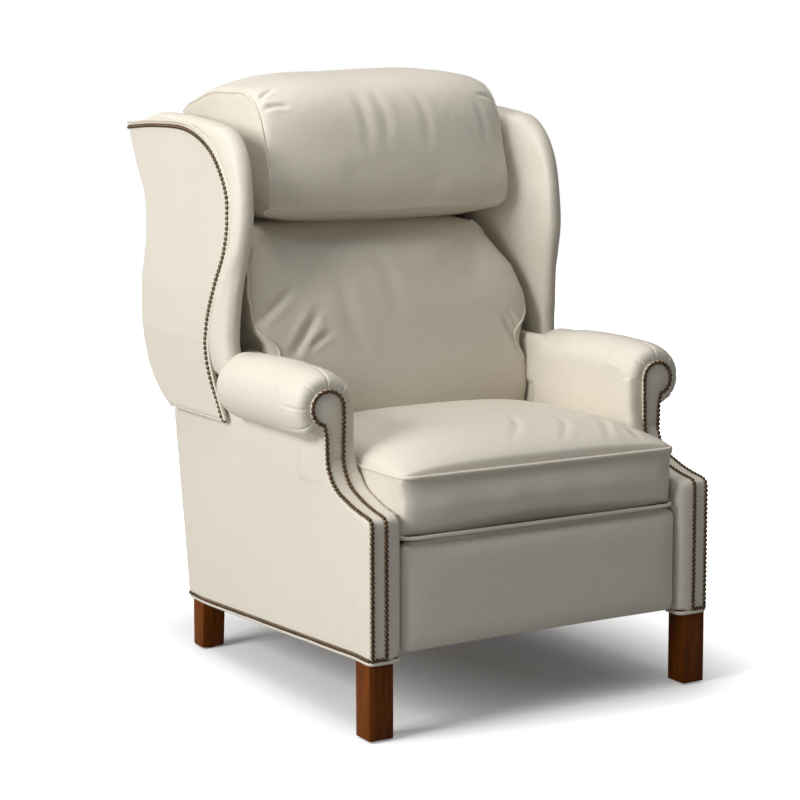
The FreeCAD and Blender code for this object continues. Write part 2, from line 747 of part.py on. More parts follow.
lumbar_step = (lumbar_top - lumbar_low) / (len(lumbar_half) - 1)
feature("lumbar_cushion", blend_loft([
    lumbar_section(lumbar_low + n * lumbar_step, half_width, y_front)
    for n, (half_width, y_front) in enumerate(zip(lumbar_half, lumbar_front))
]))

# Head pillow: a bolster that bulges forward over the crease and laps over the top of the back
crease = (97, 818)
pillow_back_low = (frame_front(818) - cushion_rest, 818)
pillow_back_top = (frame_front(top_level) - cushion_rest, top_level + 4)
pillow_rear = (446, top_level + 4)


def pillow_section(x, swell, shrink):
    """A section across the pillow; swell lifts its top and front, shrink draws it in."""
    low_front = Vector(x, crease[0] + shrink, crease[1] + shrink * 0.4)
    chin = Vector(x, 60 - swell * 0.45 + shrink, 868)
    nose_point = Vector(x, 52 - swell * 0.5 + shrink, 905)
    brow = Vector(x, 84 - swell * 0.35 + shrink, 985 + swell * 0.4 - shrink * 0.5)
    top_front = Vector(x, 150, 1040 + swell * 0.75 - shrink)
    top = Vector(x, 250, 1058 + swell - shrink)
    top_back = Vector(x, 360, 1043 + swell * 0.7 - shrink * 0.8)
    rear = Vector(x, pillow_rear[0], pillow_rear[1])
    rear_mid = Vector(x, 415, 1027 + swell * 0.3 - shrink * 0.3)
    back_top = Vector(x, *pillow_back_top)
    back_low = Vector(x, *pillow_back_low)
    return [
        Part.Arc(low_front, chin, nose_point),
        Part.Arc(nose_point, brow, top_front),
        Part.Arc(top_front, top, top_back),
        Part.Arc(top_back, rear_mid, rear),
        Part.LineSegment(rear, back_top),
        Part.LineSegment(back_top, back_low),
        Part.LineSegment(back_low, low_front),
    ]


pillow_half = 264
pillow_rise = 46
pillow_fullness = 3.6
pillow_body = 248


def pillow_swell(x):
    return pillow_rise * (1 - (abs(x) / (pillow_half + 20)) ** pillow_fullness)


body_sections = [pillow_section(pillow_body * n / 4, pillow_swell(pillow_body * n / 4), 0)
                 for n in range(-4, 5)]
pillow = blend_loft(body_sections)
for side in (LEFT, RIGHT):
    cap = [pillow_section(side * x, pillow_swell(x), shrink)
           for x, shrink in ((pillow_body, 0), (pillow_body + 11, 6), (pillow_half, 18))]
    wires = [Part.Wire([curve.toShape() for curve in section]) for section in cap]
    pillow = pillow.fuse(Part.makeLoft(wires, True, True))
feature("head_pillow", pillow)

# Footrest: a torque shaft with two lower links, two upper links and the padded board
elbow = (size_of("elbow_back"), size_of("elbow_level"))
board_pivot = (size_of("board_back"), size_of("board_level"))
link_in = "post_in - 3 * layer - steel"
shaft_outer = doc.addObject("Part::Cylinder", "shaft_outer")
shaft_inner = doc.addObject("Part::Cylinder", "shaft_inner")
for item, radius_name in ((shaft_outer, "shaft_radius"), (shaft_inner, "shaft_bore")):
    item.Placement.Rotation = FreeCAD.Rotation(Vector(0, 1, 0), 90)
    item.setExpression("Radius", bound(radius_name))
    item.setExpression("Height", bound("2 * (%s + steel)" % link_in))
    for letter, place in zip("xyz", ("-(%s + steel)" % link_in, "shaft_back", "shaft_level")):
        item.setExpression("Placement.Base." + letter, bound(place))
minus("torque_tube", shaft_outer, shaft_inner)

elbow_rivets = []
board_rivets = []
board_brackets = []
for side_name, side in SIDES:
    lower = slot_outline(shaft, elbow, 15)
    lower += [ring(shaft, shaft_radius), ring(elbow, rivet)]
    side_plate("lower_link_" + side_name, lower, (link_in, link_in + " + steel"), side)
    upper = slot_outline(elbow, board_pivot, half)
    upper += [ring(elbow, eye), ring(board_pivot, eye)]
    side_plate("upper_link_" + side_name, upper,
               (link_in + " - layer", link_in + " - layer + steel"), side)
    elbow_rivets.append(cross_pin("elbow_rivet", "rivet_radius",
                                  (link_in + " - layer", link_in + " + steel"),
                                  "elbow_back", "elbow_level", side))
    board_rivets.append(cross_pin("board_rivet", "rivet_radius",
                                  (link_in + " - 2 * layer", link_in + " - layer + steel"),
                                  "board_back", "board_level", side))
    timber_face = size_of("board_front") + size_of("board_padding") + size_of("board_timber")
    ear = polyline([
        (timber_face, board_pivot[1] - 34), (timber_face, board_pivot[1] + 28),
        (board_pivot[0] + 6, board_pivot[1] + 10), (board_pivot[0] + 10, board_pivot[1]),
        (board_pivot[0] + 6, board_pivot[1] - 12),
    ])
    ear.append(ring(board_pivot, rivet))
    board_brackets.append(side_plate("board_bracket_" + side_name, ear,
                                     (link_in + " - 2 * layer", link_in + " - 2 * layer + steel"),
                                     side))
group("elbow_rivets", elbow_rivets)
group("board_rivets", board_rivets)
group("board_brackets", board_brackets)

timber_front = "board_front + board_padding"
box("footrest_board", ("6 - board_half", "board_half - 6"),
    (timber_front, timber_front + " + board_timber"), ("board_low + 6", "board_top - 6"))

# Padded face of the footrest, drawn in at its edges
board_half = size_of("board_half")
board_low = size_of("board_low")
board_top = size_of("board_top")
board_front = size_of("board_front")
padding_depth = size_of("board_padding")


def pad_section(depth_from_front, inset):
    """A section across the padding, square to Y."""
    middle = (board_low + board_top) / 2
    half_height = (board_top - board_low) / 2
    curves = rounded_plan(board_half - inset, -half_height + inset, half_height - inset, 0, 14)
    turn = FreeCAD.Placement(Vector(0, board_front + depth_from_front, middle),
                             FreeCAD.Rotation(Vector(1, 0, 0), 90))
    for curve in curves:
        curve.transform(turn.toMatrix())
    return curves


feature("footrest_pad", blend_loft([
    pad_section(padding_depth, 1.5), pad_section(padding_depth * 0.5, 0),
    pad_section(padding_depth * 0.15, 3), pad_section(0, 14),
]))

NODES = (
    ["foot_glides", "arm_facings", "side_rails", "arm_rails", "front_cross_rail", "rear_cross_rail",
     "base_rivets", "seat_rivets", "seat_spacers", "seat_side_rails", "seat_cross_rails",
     "seat_springs", "seat_deck", "seat_cushion", "back_brackets", "back_pins", "back_rails",
     "wing_blocks", "outside_back", "inside_back", "lumbar_cushion", "head_pillow", "torque_tube",
     "elbow_rivets", "board_rivets", "board_brackets", "footrest_board", "footrest_pad"]
    + [name + "_" + side_name for name in (
        "leg_front", "leg_rear", "side_panel", "arm_post", "arm_roll", "inside_arm", "rear_wall",
        "mechanism_plate", "swing_link_front", "swing_link_rear", "seat_plate", "back_post",
        "wing_panel", "wing_pad", "lower_link", "upper_link") for side_name, side in SIDES]
)

doc.recompute()
for item in doc.Objects:
    if "Invalid" in item.State or "Error" in item.State:
        raise RuntimeError("%s failed: %s" % (item.Label, item.State))

os.makedirs("parts", exist_ok=True)
for node in NODES:
    item = doc.getObjectsByLabel(node)[0]
    shape = item.Shape
    if shape.isNull() or not shape.isValid() or not shape.Solids:
        raise RuntimeError("%s has no valid solid" % node)
    shape.exportStep("parts/%s.step" % node)
    print("%-24s solids %d  volume %.0f cm3" % (node, len(shape.Solids), shape.Volume / 1000))
print(len(NODES), "nodes")
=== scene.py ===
"""Looks of the wingback recliner: leather covers, cushions, welts, nailheads and a plain studio.

Metres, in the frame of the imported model. Lines measured in millimetres are turned by mm().
"""

import json
import math

import bmesh
import bpy
import numpy as np
from mathutils import Matrix, Vector
from mathutils.bvhtree import BVHTree


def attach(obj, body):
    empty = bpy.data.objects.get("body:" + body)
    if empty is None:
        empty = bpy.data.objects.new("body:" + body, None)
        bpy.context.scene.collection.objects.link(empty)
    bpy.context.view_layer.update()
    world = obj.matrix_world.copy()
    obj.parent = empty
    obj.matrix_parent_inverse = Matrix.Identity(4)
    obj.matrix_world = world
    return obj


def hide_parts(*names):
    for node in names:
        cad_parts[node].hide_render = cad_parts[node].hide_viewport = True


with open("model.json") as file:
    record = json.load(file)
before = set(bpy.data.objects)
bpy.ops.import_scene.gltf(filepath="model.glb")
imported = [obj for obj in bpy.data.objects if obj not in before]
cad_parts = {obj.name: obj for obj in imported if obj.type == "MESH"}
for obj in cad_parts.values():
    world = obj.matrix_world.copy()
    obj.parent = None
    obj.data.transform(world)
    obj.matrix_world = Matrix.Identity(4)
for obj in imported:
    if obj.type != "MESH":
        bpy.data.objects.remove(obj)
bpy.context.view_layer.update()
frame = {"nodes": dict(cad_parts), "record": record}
scene = bpy.context.scene
SIDES = (("left", -1), ("right", 1))


# Shader nodes

def shader_node(tree, kind, inputs=None, **settings):
    """A node with its settings made and its sockets set or linked."""
    made = tree.nodes.new("ShaderNode" + kind)
    for name, value in settings.items():
        setattr(made, name, value)
    for name, value in (inputs or {}).items():
        if isinstance(value, bpy.types.NodeSocket):
            tree.links.new(value, made.inputs[name])
        else:
            made.inputs[name].default_value = value
    return made


def texture_group(name, numbers):
    """A node group with float inputs, the object's coordinates, and Tone and Normal outputs."""
    tree = bpy.data.node_groups.new(name, "ShaderNodeTree")
    for label, value in numbers.items():
        socket = tree.interface.new_socket(label, in_out="INPUT", socket_type="NodeSocketFloat")
        socket.default_value = value
    tree.interface.new_socket("Tone", in_out="OUTPUT", socket_type="NodeSocketFloat")
    tree.interface.new_socket("Normal", in_out="OUTPUT", socket_type="NodeSocketVector")
    given = tree.nodes.new("NodeGroupInput")
    result = tree.nodes.new("NodeGroupOutput")
    place = shader_node(tree, "TexCoord").outputs["Object"]
    return tree, given.outputs, result.inputs, place


def math_node(tree, operation, a, b, c=None):
    values = {0: a, 1: b} if c is None else {0: a, 1: b, 2: c}
    return shader_node(tree, "Math", values, operation=operation).outputs[0]


def leather_grain_group():
    """Pebbled grain with pores and slow creases; Tone darkens the valleys of the grain."""
    tree, given, result, place = texture_group(
        "leather_grain", {"Scale": 620.0, "Depth": 0.00022, "Crease": 0.0009})
    drift = shader_node(tree, "TexNoise", {"Vector": place, "Scale": 140.0, "Detail": 1.0})
    bent = shader_node(tree, "VectorMath", {0: drift.outputs["Color"], 1: (0.004, 0.004, 0.004)},
                       operation="MULTIPLY")
    spot = shader_node(tree, "VectorMath", {0: place, 1: bent.outputs[0]}, operation="ADD")
    cells = shader_node(tree, "TexVoronoi", {"Vector": spot.outputs[0], "Scale": given["Scale"]},
                        feature="DISTANCE_TO_EDGE")
    pebble = shader_node(tree, "MapRange", {"Value": cells.outputs["Distance"], "From Max": 0.32},
                         interpolation_type="SMOOTHSTEP").outputs[0]
    pores = shader_node(tree, "TexNoise", {"Vector": place, "Scale": 2300.0, "Detail": 2.0})
    fine = math_node(tree, "MULTIPLY_ADD", pores.outputs[0], 0.35, pebble)
    creases = shader_node(tree, "TexNoise", {"Vector": place, "Scale": 26.0, "Detail": 4.0,
                                             "Roughness": 0.55, "Distortion": 0.6})
    small = shader_node(tree, "Bump", {"Height": fine, "Distance": given["Depth"],
                                       "Strength": 0.8})
    large = shader_node(tree, "Bump", {"Height": creases.outputs[0], "Distance": given["Crease"],
                                       "Strength": 0.9, "Normal": small.outputs[0]})
    tree.links.new(pebble, result["Tone"])
    tree.links.new(large.outputs[0], result["Normal"])
    return tree


def wood_group():
    """Long grain along Z with fine pores; Tone runs from dark streaks to light wood."""
    tree, given, result, place = texture_group("wood_grain", {"Scale": 1.0, "Depth": 0.0002})
    scaled = shader_node(tree, "VectorMath", {0: place, 3: given["Scale"]}, operation="SCALE")
    long = shader_node(tree, "VectorMath", {0: scaled.outputs[0], 1: (90.0, 90.0, 6.0)},
                       operation="MULTIPLY").outputs[0]
    streaks = shader_node(tree, "TexNoise", {"Vector": long, "Scale": 1.0, "Detail": 6.0,
                                             "Roughness": 0.6, "Distortion": 1.2})
    pores_at = shader_node(tree, "VectorMath", {0: scaled.outputs[0], 1: (1500.0, 1500.0, 60.0)},
                           operation="MULTIPLY").outputs[0]
    pores = shader_node(tree, "TexNoise", {"Vector": pores_at, "Scale": 1.0, "Detail": 1.0})
    tone = math_node(tree, "MULTIPLY_ADD", pores.outputs[0], 0.25, streaks.outputs[0])
    bump = shader_node(tree, "Bump", {"Height": tone, "Distance": given["Depth"], "Strength": 0.5})
    tree.links.new(tone, result["Tone"])
    tree.links.new(bump.outputs[0], result["Normal"])
    return tree


def weave_group():
    """Plain weave of two crossing threads."""
    tree, given, result, place = texture_group("weave", {"Scale": 900.0, "Depth": 0.0003})
    across = shader_node(tree, "TexWave", {"Vector": place, "Scale": given["Scale"]},
                         bands_direction="X")
    along = shader_node(tree, "TexWave", {"Vector": place, "Scale": given["Scale"]},
                        bands_direction="Y")
    height = math_node(tree, "MAXIMUM", across.outputs["Fac"], along.outputs["Fac"])
    bump = shader_node(tree, "Bump", {"Height": height, "Distance": given["Depth"]})
    tree.links.new(height, result["Tone"])
    tree.links.new(bump.outputs[0], result["Normal"])
    return tree


def speckle_group():
    """Soft blotches for metal and plastic."""
    tree, given, result, place = texture_group("speckle", {"Scale": 300.0, "Depth": 0.0001})
    blotch = shader_node(tree, "TexNoise", {"Vector": place, "Scale": given["Scale"],
                                            "Detail": 5.0, "Roughness": 0.65})
    bump = shader_node(tree, "Bump", {"Height": blotch.outputs[0], "Distance": given["Depth"]})
    tree.links.new(blotch.outputs[0], result["Tone"])
    tree.links.new(bump.outputs[0], result["Normal"])
    return tree


def surface(name, group, numbers, dark, light, tones, roughness, metallic=0.0, coat=0.0,
            specular=0.5):
    """A material whose colour runs from dark to light over the group's Tone between tones."""
    material = bpy.data.materials.new(name)
    material.use_nodes = True
    tree = material.node_tree
    shader = tree.nodes["Principled BSDF"]
    texture = tree.nodes.new("ShaderNodeGroup")
    texture.node_tree = group
    for label, value in numbers.items():
        texture.inputs[label].default_value = value
    ramp = shader_node(tree, "ValToRGB", {"Fac": texture.outputs["Tone"]})
    for element, at, colour in zip(ramp.color_ramp.elements, tones, (dark, light)):
        element.position = at
        element.color = (*colour, 1)
    place = shader_node(tree, "TexCoord").outputs["Object"]
    slow = shader_node(tree, "TexNoise", {"Vector": place, "Scale": 5.0, "Detail": 3.0})
    gloss = shader_node(tree, "MapRange", {"Value": slow.outputs[0], "From Min": 0.3,
                                           "From Max": 0.7, "To Min": roughness[0],
                                           "To Max": roughness[1]})
    tree.links.new(ramp.outputs[0], shader.inputs["Base Color"])
    tree.links.new(gloss.outputs[0], shader.inputs["Roughness"])
    tree.links.new(texture.outputs["Normal"], shader.inputs["Normal"])
    shader.inputs["Metallic"].default_value = metallic
    shader.inputs["Coat Weight"].default_value = coat
    shader.inputs["Specular IOR Level"].default_value = specular
    return material


grain = leather_grain_group()
wood = wood_group()
speckle = speckle_group()
leather = surface("ivory_leather", grain, {}, (0.61, 0.557, 0.464), (0.765, 0.715, 0.618),
                  (0.0, 0.5), (0.36, 0.46))
mahogany = surface("mahogany", wood, {}, (0.050, 0.011, 0.001), (0.200, 0.050, 0.002),
                   (0.35, 0.85), (0.42, 0.52), specular=0.12)
hardwood = surface("bare_hardwood", wood, {"Scale": 0.6}, (0.36, 0.23, 0.12),
                   (0.60, 0.44, 0.27), (0.4, 0.8), (0.5, 0.65))
antique_brass = surface("antique_brass", speckle, {"Scale": 420.0}, (0.030, 0.019, 0.012),
                        (0.30, 0.205, 0.120), (0.35, 0.7), (0.26, 0.40), metallic=1.0)
zinc_steel = surface("zinc_steel", speckle, {"Scale": 160.0}, (0.30, 0.30, 0.31),
                     (0.50, 0.50, 0.51), (0.35, 0.7), (0.35, 0.5), metallic=1.0)
glide_plastic = surface("glide_plastic", speckle, {}, (0.012, 0.012, 0.012),
                        (0.03, 0.03, 0.03), (0.3, 0.7), (0.45, 0.6))
deck_cloth = surface("deck_cloth", weave_group(), {}, (0.05, 0.05, 0.05), (0.16, 0.16, 0.16),
                     (0.1, 0.9), (0.8, 0.95))
SLOT_MATERIALS = {"leather": leather, "leg_wood": mahogany, "frame_wood": hardwood,
                  "steel": zinc_steel, "glide": glide_plastic, "deck_cloth": deck_cloth}
for part in frame["record"]["subparts"]:
    node = frame["nodes"][part["node"]]
    for place_holder in node.material_slots:
        place_holder.material = SLOT_MATERIALS[part["material_slot"]]


# Mesh helpers
NEAR_SEAM = 0.006


def mm(*values):
    return Vector(values) / 1000


def pick(item):
    bpy.ops.object.select_all(action="DESELECT")
    item.select_set(True)
    bpy.context.view_layer.objects.active = item


def new_object(name, mesh):
    item = bpy.data.objects.new(name, mesh)
    scene.collection.objects.link(item)
    return item


def mesh_from(name, bm):
    mesh = bpy.data.meshes.new(name)
    bm.to_mesh(mesh)
    bm.free()
    return mesh


def copy_of(name, *nodes):
    """One new object from copies of the CAD nodes' meshes, their doubled points merged."""
    bm = bmesh.new()
    for source in nodes:
        bm.from_mesh(frame["nodes"][source].data)
    bmesh.ops.remove_doubles(bm, verts=bm.verts, dist=0.00002)
    return new_object(name, mesh_from(name, bm))


def modify(item, kind, **settings):
    """Add a modifier and apply it."""
    pick(item)
    modifier = item.modifiers.new(kind.title(), kind)
    for name, value in settings.items():
        setattr(modifier, name, value)
    bpy.ops.object.modifier_apply(modifier=modifier.name)


def points_of(item):
    flat = np.empty(len(item.data.vertices) * 3, np.float32)
    item.data.vertices.foreach_get("co", flat)
    return flat.reshape(-1, 3)


def normals_of(item):
    flat = np.empty(len(item.data.vertices) * 3, np.float32)
    item.data.vertex_normals.foreach_get("vector", flat)
    return flat.reshape(-1, 3)


def move_points(item, points):
    item.data.vertices.foreach_set("co", points.astype(np.float32).ravel())
    item.data.update()


def soft_cover(name, nodes, voxel, rounds, fillers=(), leave_out=None):
    """CAD solids and filler pieces fused into one skin with softened corners."""
    item = copy_of(name, *[node for node in nodes if node != leave_out])
    if fillers:
        pick(item)
        for filler in fillers:
            filler.select_set(True)
        bpy.ops.object.join()
    modify(item, "REMESH", mode="VOXEL", voxel_size=voxel)
    modify(item, "SMOOTH", factor=0.5, iterations=rounds)
    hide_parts(*nodes)
    return item


def line_distance(points, line):
    """Each point's distance from a polyline, and how far along the line its nearest spot is."""
    best = np.full(len(points), 1e9)
    along = np.zeros(len(points))
    line = np.array(line, float)
    lengths = np.linalg.norm(np.diff(line, axis=0), axis=1)
    total = lengths.sum()
    passed = 0.0
    for start, end, length in zip(line, line[1:], lengths):
        share = np.clip((points - start) @ (end - start) / length ** 2, 0, 1)
        distance = np.linalg.norm(points - (start + share[:, None] * (end - start)), axis=1)
        closer = distance < best
        best[closer] = distance[closer]
        along[closer] = (passed + share[closer] * length) / total
        passed += length
    return best, along


def smooth_line(points, count, closed=False):
    """Evenly spaced points on a Catmull-Rom line through the given ones."""
    points = [np.array(point, float) for point in points]
    if closed:
        ring = [points[-1]] + points + points[:2]
    else:
        ring = [2 * points[0] - points[1]] + points + [2 * points[-1] - points[-2]]
    dense = []
    for a, b, c, d in zip(ring, ring[1:], ring[2:], ring[3:]):
        for t in np.arange(12) / 12:
            dense.append(0.5 * (2 * b + (c - a) * t + (2 * a - 5 * b + 4 * c - d) * t * t
                                + (3 * b - a - 3 * c + d) * t ** 3))
    dense.append(ring[-2])
    return evenly(dense, count)


def evenly(rows, count, measured=None):
    """Rows at even steps along a line whose length is taken over the measured columns."""
    rows = np.array(rows, float)
    steps = np.linalg.norm(np.diff(rows[:, :measured], axis=0), axis=1)
    reached = np.concatenate([[0], np.cumsum(steps)])
    wanted = np.linspace(0, reached[-1], count)
    return np.stack([np.interp(wanted, reached, rows[:, n]) for n in range(rows.shape[1])], 1)


def tree_of(item):
    bm = bmesh.new()
    bm.from_mesh(item.data)
    tree = BVHTree.FromBMesh(bm)
    bm.free()
    return tree


def on_front(item, xz_line, count=24):
    """A line given by x and z in millimetres, laid on the piece's front."""
    tree = tree_of(item)
    laid = []
    for x, z in smooth_line(xz_line, count):
        hit = tree.ray_cast(Vector((x / 1000, -1, z / 1000)), Vector((0, 1, 0)))[0]
        if hit:
            laid.append(hit)
    return laid


def puff(item, pressure, steps, cap, held=(), half_width=None):
    """Blow the piece up as cloth, its held lines fixed, each point kept within cap of its start."""
    before = points_of(item)
    modifier = item.modifiers.new("Cloth", "CLOTH")
    settings = modifier.settings
    settings.quality = 3
    settings.mass = 0.3
    settings.use_pressure = True
    settings.uniform_pressure_force = pressure
    settings.effector_weights.gravity = 0
    if held:
        group = item.vertex_groups.new(name="held")
        near = np.min([line_distance(before, line)[0] for line in held], axis=0) < NEAR_SEAM
        group.add([int(n) for n in np.flatnonzero(near)], 1.0, "REPLACE")
        settings.vertex_group_mass = "held"
    for number in range(1, steps + 1):
        scene.frame_set(number)
    shown = item.evaluated_get(bpy.context.evaluated_depsgraph_get())
    after = points_of(shown)
    item.modifiers.remove(modifier)
    item.vertex_groups.clear()
    scene.frame_set(1)
    move = after - before
    length = np.maximum(np.linalg.norm(move, axis=1, keepdims=True), 1e-9)
    after = before + move * np.minimum(1, cap / length)
    if half_width:
        after[:, 0] = np.clip(after[:, 0], -half_width, half_width)
    move_points(item, after)


def inflate(item, amount):
    move_points(item, points_of(item) + normals_of(item) * amount)


def fold(item, line, depth, width, lift=0.35):
    """Press a crease into the piece along a line, with a raised lip on each side."""
    if len(line) < 2:
        return
    distance, along = line_distance(points_of(item), line)
    fade = np.sin(np.clip(along, 0.02, 0.98) * math.pi) ** 0.5
    valley = -depth * np.exp(-(distance / width) ** 2)
    lips = lift * depth * np.exp(-((distance - 2.2 * width) / width) ** 2)
    amount = (valley + lips) * fade
    move_points(item, points_of(item) + normals_of(item) * amount[:, None].astype(np.float32))


def soften(item, start, end, reach, rounds):
    """Round the piece off near a line by smoothing only there."""
    distance = line_distance(points_of(item), [start, end])[0]
    group = item.vertex_groups.new(name="near")
    for n in np.flatnonzero(distance < reach):
        group.add([int(n)], float(1 - (distance[n] / reach) ** 2), "REPLACE")
    modify(item, "SMOOTH", factor=0.5, iterations=rounds, vertex_group="near")
    item.vertex_groups.clear()


def relax(item, lines, reach, rounds):
    """Smooth the piece away from its seams."""
    points = points_of(item)
    distance = np.min([line_distance(points, line)[0] for line in lines], axis=0)
    group = item.vertex_groups.new(name="free")
    for n in np.flatnonzero(distance > NEAR_SEAM):
        group.add([int(n)], float(min(1, distance[n] / reach)), "REPLACE")
    modify(item, "SMOOTH", factor=0.5, iterations=rounds, vertex_group="free")
    item.vertex_groups.clear()


def dress(item, material, body):
    item.data.materials.clear()
    item.data.materials.append(material)
    pick(item)
    bpy.ops.object.shade_smooth()
    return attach(item, body)


def welt(name, points, radius, body, closed=False):
    """A round cord under leather along the points."""
    curve = bpy.data.curves.new(name, "CURVE")
    curve.dimensions = "3D"
    curve.bevel_depth = radius
    curve.bevel_resolution = 2
    curve.resolution_u = 2
    spline = curve.splines.new("NURBS")
    spline.points.add(len(points) - 1)
    for spot, point in zip(spline.points, points):
        spot.co = (*point, 1)
    spline.use_cyclic_u = closed
    spline.use_endpoint_u = not closed
    spline.order_u = 3
    item = new_object(name, curve)
    pick(item)
    bpy.ops.object.convert(target="MESH")
    return dress(bpy.context.object, leather, body)


def snapped(item, points, sink=0.0):
    """The points moved to the nearest spots of the piece's surface, then sunk into it."""
    tree = tree_of(item)
    laid = []
    for point in points:
        spot, normal = tree.find_nearest(Vector(point))[:2]
        laid.append(spot - normal * sink)
    return laid


# Nailheads: low domes in rows
NAIL_RADIUS = 0.0041
NAIL_PITCH = 0.00825


def nail_mesh():
    bm = bmesh.new()
    sides = 10
    profile = [(1.02, -0.2), (0.96, 0.25), (0.68, 0.56), (0.3, 0.72)]
    rings = [[bm.verts.new((NAIL_RADIUS * r * math.cos(a), NAIL_RADIUS * r * math.sin(a),
                            NAIL_RADIUS * h))
              for a in (2 * math.pi * n / sides for n in range(sides))] for r, h in profile]
    for low, high in zip(rings, rings[1:]):
        for n in range(sides):
            m = (n + 1) % sides
            bm.faces.new((low[n], low[m], high[m], high[n]))
    bm.faces.new(rings[-1])
    return mesh_from("nail", bm)


nail = nail_mesh()


def nail_row(name, spots, body, pitch=NAIL_PITCH):
    """Nailheads at even steps along (place, outward) pairs, joined as one piece."""
    places = np.array([[*place, *outward] for place, outward in spots], float)
    length = np.linalg.norm(np.diff(places[:, :3], axis=0), axis=1).sum()
    count = max(2, round(length / pitch) + 1)
    bm = bmesh.new()
    for row in evenly(places, count, measured=3):
        outward = Vector(row[3:]).normalized()
        turn = outward.to_track_quat("Z", "Y").to_matrix().to_4x4()
        one = nail.copy()
        one.transform(Matrix.Translation(Vector(row[:3])) @ turn)
        bm.from_mesh(one)
        bpy.data.meshes.remove(one)
    return dress(new_object(name, mesh_from(name, bm)), antique_brass, body)


# Sides of the base: panel, post, arm and rear wall under one leather skin
SIDE_NODES = ("side_panel_", "arm_post_", "inside_arm_", "rear_wall_", "arm_roll_")
ROLL_CENTRE = (344, 540)
ROLL_START = -0.278
ROLL_FRONT = -319
ROLL_BACK = 4
ARM_INSIDE = 0.285
ARM_RISE = 5
# Where the roll's rear end is filled out to its full radius, toward the inside
FILL_EDGE = 0.372
FILL_FADE = 0.03
FILL_FROM = -0.035
FILL_RADIUS = 0.0612
# Edges of the skin that are rounded off: start, end, reach and rounds
SOFT_EDGES = (
    ((0.285, -0.470, 0.13), (0.285, -0.470, 0.377), 0.024, 60),
    ((0.285, -0.319, 0.44), (0.285, -0.319, 0.52), 0.022, 50),
    ((0.285, -0.26, 0.545), (0.285, 0.06, 0.550), 0.045, 30),
    ((0.293, -0.01, 0.590), (0.330, 0.03, 0.585), 0.045, 40),
)


def block(low, high):
    """A plain box between two corners in millimetres."""
    bm = bmesh.new()
    low, high = Vector(low), Vector(high)
    for vert in bmesh.ops.create_cube(bm, size=1)["verts"]:
        spot = (low + high) / 2 + vert.co * (high - low)
        vert.co = spot / 1000
    return new_object("block", mesh_from("block", bm))


def side_block(side, inner, outer, low, high):
    """A box on one side of the chair, from its y and z corners in millimetres."""
    left, right = sorted((side * inner, side * outer))
    return block((left, *low), (right, *high))


# The scroll's outline in y and radius, with its pleats in degrees from the outer side
ROLL_PROFILE = [(-319, 0.5), (-319.5, 20), (-319.5, 32), (-319, 40), (-316, 48), (-309, 54),
                (-297, 57.8), (-280, 60.6), (-262, 62.0), (-244, 62.3), (-230, 60.5), (-220, 55),
                (-215, 44), (-213, 30), (-213, 0.5)]
PLEATS = (2, 48, 92, 138, 180, 322)


def arm_front(name, side, rings, spokes, pleated):
    """The front of an arm's roll, plain as a filler or pleated and just over the skin."""
    profile = smooth_line(ROLL_PROFILE, rings)
    slope = np.gradient(profile, axis=0)
    slope /= np.linalg.norm(slope, axis=1, keepdims=True)
    out_y, out_r = -slope[:, 1], slope[:, 0]
    angles = np.linspace(0, 2 * math.pi, spokes, endpoint=False)
    degrees = np.degrees(angles)
    across, upward = np.cos(angles), np.sin(angles)
    below = (across < 0) & (upward < 0)
    square = np.where(below, (across ** 4 + upward ** 4) ** -0.25, 1)
    folds = np.zeros(spokes)
    for pleat in PLEATS:
        away = (degrees - pleat + 180) % 360 - 180
        folds += np.exp(-(away / 2.0) ** 2)
    shown = np.clip((188 - degrees) / 8, 0, 1) + np.clip((degrees - 300) / 12, 0, 1)
    over = (3.0 * shown - 2.2 - 2.2 * folds * shown) if pleated else np.zeros(spokes)
    reach = np.clip((profile[:, 1] - 33) / 10, 0, 1)
    if pleated:
        reach *= np.clip((-262 - profile[:, 0]) / 26, 0, 1)
    verts = []
    for n in range(rings):
        y, r = profile[n]
        gather = over * reach[n]
        radius = (r + gather * out_r[n]) * square
        depth = y + gather * out_y[n]
        x = np.maximum(ROLL_CENTRE[0] + radius * across, 1000 * ARM_INSIDE - 0.1 * pleated)
        lift = ARM_RISE * math.sin(math.pi * (y - ROLL_FRONT - 1) / (ROLL_BACK - ROLL_FRONT))
        z = ROLL_CENTRE[1] + lift + radius * upward
        verts += [(side * a / 1000, b / 1000, c / 1000) for a, b, c in zip(x, depth, z)]
    faces = []
    for n in range(rings - 1):
        for m in range(spokes):
            k = (m + 1) % spokes
            quad = (n * spokes + m, n * spokes + k, (n + 1) * spokes + k, (n + 1) * spokes + m)
            faces.append(quad if side == 1 else quad[::-1])
    ends = (tuple(range(spokes)), tuple(range((rings - 1) * spokes, rings * spokes)))
    faces.append(ends[0][::-1] if side == 1 else ends[0])
    faces.append(ends[1] if side == 1 else ends[1][::-1])
    mesh = bpy.data.meshes.new(name)
    mesh.from_pydata(verts, [], faces)
    return new_object(name, mesh)


